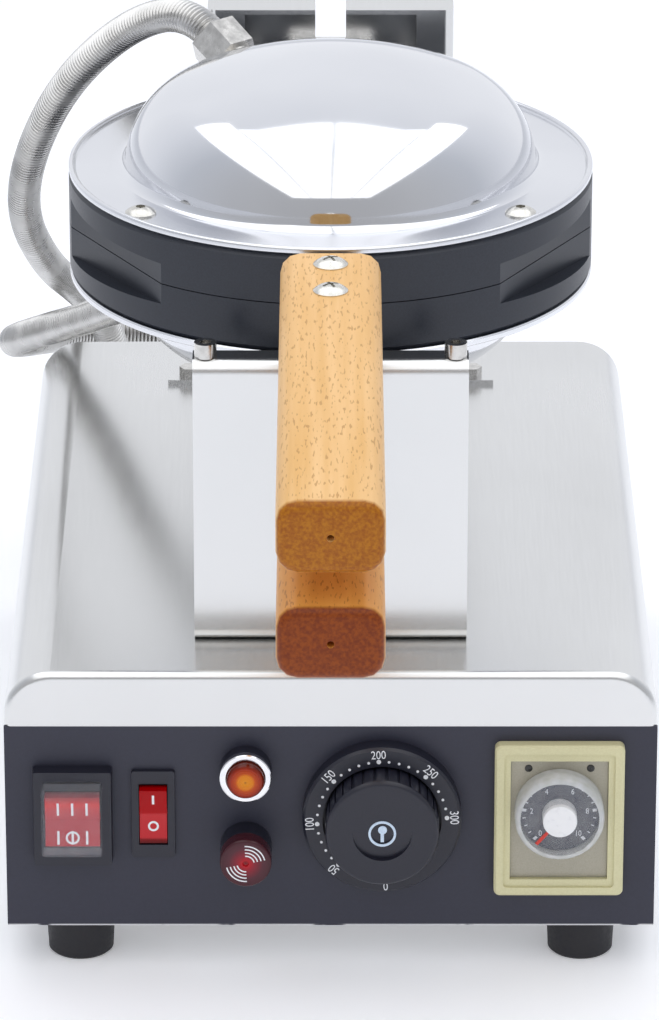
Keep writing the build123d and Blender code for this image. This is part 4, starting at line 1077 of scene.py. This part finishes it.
def make_timer_skirt():
    """Clear skirt, as a frosted wall open at both ends and a thin window."""
    centre, cap, *_ = measure("timer_knob")
    _, rim, depth, front, back = measure("timer_skirt")
    profile = [
        (rim - skirt_wall, 0), (rim, 0), (rim, 0.001), (rim - 0.0002, depth - 0.0012),
        (rim - 0.0008, depth - 0.0003), (rim - 0.0014, depth), (rim - skirt_lip, depth),
        (rim - skirt_lip, depth - 0.0009), (rim - skirt_wall - 0.0004, depth - 0.0016),
    ]
    skirt = turned(profile, 96)
    select_faces(skirt, lambda place, normal: place.xy.length < 0.001)
    bpy.ops.mesh.delete(type="FACE")
    bpy.ops.mesh.select_mode(type="EDGE")
    bpy.ops.mesh.select_all(action="DESELECT")
    bpy.ops.mesh.select_non_manifold()
    bpy.ops.mesh.bridge_edge_loops()
    bpy.ops.mesh.select_all(action="SELECT")
    bpy.ops.mesh.normals_make_consistent(inside=False)
    bpy.ops.object.mode_set(mode="OBJECT")
    settle(skirt, (centre.x, back, centre.z), front_facing)
    finish([skirt], "timer_skirt_wall", "skirt", "timer_knob", ["timer_skirt"])
    window = ring_band(cap + 0.0001, rim - skirt_lip + 0.0001, 0.0006)
    settle(window, (centre.x, front + 0.0008, centre.z), front_facing)
    finish([window], "timer_skirt_window", "window", "timer_knob", ["timer_skirt"])


def make_timer_pointer():
    """Red pointer printed under the skirt's window, at the foot of the scale."""
    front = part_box("timer_skirt")[0].y
    pointer = block(pointer_size, (0, 0, ink), edge=0.00005)
    place = on_dial(middle("timer_knob"), pointer_reach, pointer_turn, front + 0.0002)
    settle(pointer, place, (pi / 2, radians(pointer_turn), 0))
    finish([pointer], "timer_pointer", "pointer_ink", "timer_knob")


def make_timer_cap():
    """White cap on its stem, with a soft front edge."""
    centre, cap, length, _, back = measure("timer_knob")
    profile = [(stem_radius, 0), (stem_radius, stem_length), (cap, stem_length)]
    profile += [(cap, length - 0.0007), (cap - 0.0002, length - 0.0002)]
    profile += [(cap - 0.0008, length), (0.001, length - 0.0001)]
    knob = turned(profile, 72)
    settle(knob, (centre.x, back, centre.z), front_facing)
    finish([knob], "timer_cap", "white", "timer_knob", ["timer_knob"])


# Lamp and buzzer

collar_radius = 0.0075
bezel_bore = 0.0073
bezel_depth = 0.0026
bezel_bevel = 0.0004
bezel_rise = 0.0003
lens_round = 0.0018
cap_round = 0.0011
sound_reaches = (0.0033, 0.0046, 0.006, 0.0074)
sound_sweep = 82
sound_half = 0.00024


def make_pilot_lamp():
    """Black collar, flat chromed ring and an amber lens with a rounded shoulder."""
    centre, rim, _, front, back = measure("pilot_ring")
    shelf = panel_front - front - bezel_depth - 0.0001
    profile = [(collar_radius, panel_front - back), (collar_radius, 0)]
    profile += [(rim, 0), (rim, shelf), (bezel_bore, shelf)]
    collar = turned(profile, 72)
    settle(collar, (centre.x, panel_front, centre.z), front_facing)
    finish([collar], "pilot_collar", "black", "base", ["pilot_ring"])
    ring = ring_band(bezel_bore, rim, bezel_depth, sides=96)
    select_faces(ring, lambda place, normal: normal.z > 0.9)
    bpy.ops.mesh.inset(thickness=bezel_bevel)
    bpy.ops.transform.translate(value=(0, 0, bezel_rise))
    bpy.ops.object.mode_set(mode="OBJECT")
    settle(ring, (centre.x, front + bezel_depth + bezel_rise, centre.z), front_facing)
    finish([ring], "pilot_bezel", "chrome", "base", ["pilot_ring"], smooth=30)
    _, radius, depth, _, back = measure("pilot_lens")
    profile = [(radius, 0), (radius, depth - lens_round)]
    profile += arc((radius - lens_round, depth - lens_round), lens_round, 0, 80, 6)[1:]
    profile += [(radius * 0.4, depth - 0.0001), (0.0008, depth)]
    lens = turned(profile, 72)
    settle(lens, (centre.x, back, centre.z), front_facing)
    finish([lens], "pilot_lens_moulded", "lamp", "base", ["pilot_lens"])


def make_buzzer():
    """Red cap with a rounded edge and two sets of white sound arcs."""
    centre, radius, depth, front, back = measure("buzzer_cap")
    profile = [(radius, 0), (radius, depth - cap_round)]
    profile += arc((radius - cap_round, depth - cap_round), cap_round, 0, 90, 5)[1:]
    profile += [(0.0012, depth), (0.0009, depth - 0.0006), (0.0003, depth - 0.0006)]
    cap = turned(profile, 96)
    settle(cap, (centre.x, back, centre.z), front_facing)
    finish([cap], "buzzer_cap_rounded", "buzzer", "base", ["buzzer_cap"])
    marks = []
    for reach in sound_reaches:
        for start in (-4, 176):
            inner, outer = reach - sound_half, reach + sound_half
            band = ring_band(inner, outer, ink, start, start + sound_sweep, 120)
            marks.append(settle(band, (centre.x, front, centre.z), front_facing))
    finish(marks, "buzzer_arcs", "ink", "base")


# Switches

rocker_nose = 0.0045
rocker_valley = 0.0027
rocker_rest = radians(7)
bar_width = 0.0009


def on_rocker(body, share, across=0.0):
    """Place and turn of a mark on a rocker's V front, at a share of its half height."""
    low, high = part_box(body)
    half = (high.z - low.z - rocker_nose * sin(rocker_rest)) / (2 * cos(rocker_rest))
    pivot_y = low.y + rocker_nose * cos(rocker_rest) + half * sin(rocker_rest)
    pivot_z = high.z - half * cos(rocker_rest)
    ahead = rocker_valley + (rocker_nose - rocker_valley) * abs(share)
    up = share * half
    lean = rocker_rest + atan2(rocker_nose - rocker_valley, half) * (1 if share > 0 else -1)
    place = (
        (low.x + high.x) / 2 + across,
        pivot_y - ahead * cos(rocker_rest) - up * sin(rocker_rest),
        pivot_z - ahead * sin(rocker_rest) + up * cos(rocker_rest),
    )
    return place, (pi / 2 + lean, 0, 0)


def make_rocker_marks():
    """White I and O marks printed on the two rockers."""
    bars = []
    for share, height in ((0.46, 0.0062), (-0.68, 0.0056)):
        for across in (-0.0055, 0, 0.0055):
            bar = block((bar_width, height, ink))
            bars.append(settle(bar, *on_rocker("power_rocker", share, across)))
    ring = ring_band(0.0019, 0.0027, ink, sides=48)
    bars.append(settle(ring, *on_rocker("power_rocker", -0.68)))
    finish(bars, "power_marks", "ink", "power_rocker")
    bar = settle(block((bar_width, 0.0044, ink)), *on_rocker("alarm_rocker", 0.63))
    ring = settle(ring_band(0.0013, 0.0021, ink, sides=48), *on_rocker("alarm_rocker", -0.4))
    finish([bar, ring], "alarm_marks", "ink", "alarm_rocker")


# Studio

panel_width = 0.4
panel_gap = 0.014
panel_height = 1.2
panel_front_end = -1.97
panel_back_ends = (0.8, 0.6, 0.6, 0.8)
panel_middle = 0.015
panel_radiance = 1.0


def make_floor():
    """White table: shows the machine's shadow, white elsewhere."""
    clear_selection()
    bpy.ops.mesh.primitive_plane_add(size=14)
    floor = bpy.context.object
    floor.name = "floor"
    material, _, shader, _ = start_material("white_table", Roughness=0.9, IOR=1.2)
    shader.inputs["Base Color"].default_value = linear("#fafbff")
    shader.inputs["Emission Color"].default_value = (1, 1, 1, 1)
    shader.inputs["Emission Strength"].default_value = 0.2
    floor.data.materials.append(material)


def make_world():
    """White for the camera, a soft grey-to-white sky in reflections, an even fill elsewhere."""
    world = bpy.data.worlds.new("studio")
    bpy.context.scene.world = world
    world.use_nodes = True
    tree = world.node_tree
    rays = add_node(tree, "LightPath").outputs
    seen = add_node(
        tree, "Math", {0: rays["Is Camera Ray"], 1: rays["Is Transmission Ray"]}, operation="MAXIMUM"
    )
    direction = add_node(tree, "TexCoord").outputs["Generated"]
    depth = add_node(tree, "SeparateXYZ", {"Vector": direction}).outputs["Y"]
    share = add_node(tree, "MapRange", {"Value": depth, "From Min": -1.0, "From Max": 1.0})
    sky = add_node(
        tree, "ValToRGB", {"Fac": share},
        [(0.0, "#b9babd"), (0.25, "#c3c5ca"), (0.5, "#cdd1d9"), (0.72, "#e8ebf2"),
         (0.9, "#f8faff")],
    )
    fill = add_node(
        tree, "Mix",
        {"Factor": rays["Is Glossy Ray"], "A": (0.46, 0.48, 0.52, 1), "B": sky},
        data_type="RGBA",
    )
    colour = add_node(
        tree, "Mix", {"Factor": seen, "A": fill, "B": (1, 1, 1, 1)}, data_type="RGBA"
    )
    feed(tree, tree.nodes["Background"], {"Color": colour, "Strength": 1.0})


def add_softbox(name, place, width, depth, radiance):
    lamp = bpy.data.lights.new(name, "AREA")
    lamp.shape = "RECTANGLE"
    lamp.size = width
    lamp.size_y = depth
    lamp.energy = radiance * pi * width * depth
    holder = bpy.data.objects.new(name, lamp)
    holder.location = place
    bpy.context.collection.objects.link(holder)
    return holder


def make_lights():
    """Four long panels overhead, running towards the camera, with narrow gaps between them."""
    for column, back in enumerate(panel_back_ends):
        x = panel_middle + (column - 1.5) * (panel_width + panel_gap)
        place = (x, (panel_front_end + back) / 2, panel_height)
        length = back - panel_front_end
        add_softbox(f"overhead_{column}", place, panel_width, length, panel_radiance)
    key = add_softbox("back_key", (0, 1.1, 1.6), 2.4, 0.9, 1.3)
    key.visible_glossy = False


def set_colours():
    bpy.context.scene.view_settings.view_transform = "Standard"


make_camera()
finishes = make_finishes()
make_hoses()
dress_nodes()
make_covers()
make_cover_screws()
make_handle_screws()
make_handles()
make_dial_marks()
make_thermostat_knob()
make_knob_sign()
make_timer_scale()
make_timer_lamps()
make_timer_skirt()
make_timer_pointer()
make_timer_cap()
make_pilot_lamp()
make_buzzer()
make_rocker_marks()
make_floor()
make_world()
make_lights()
set_colours()
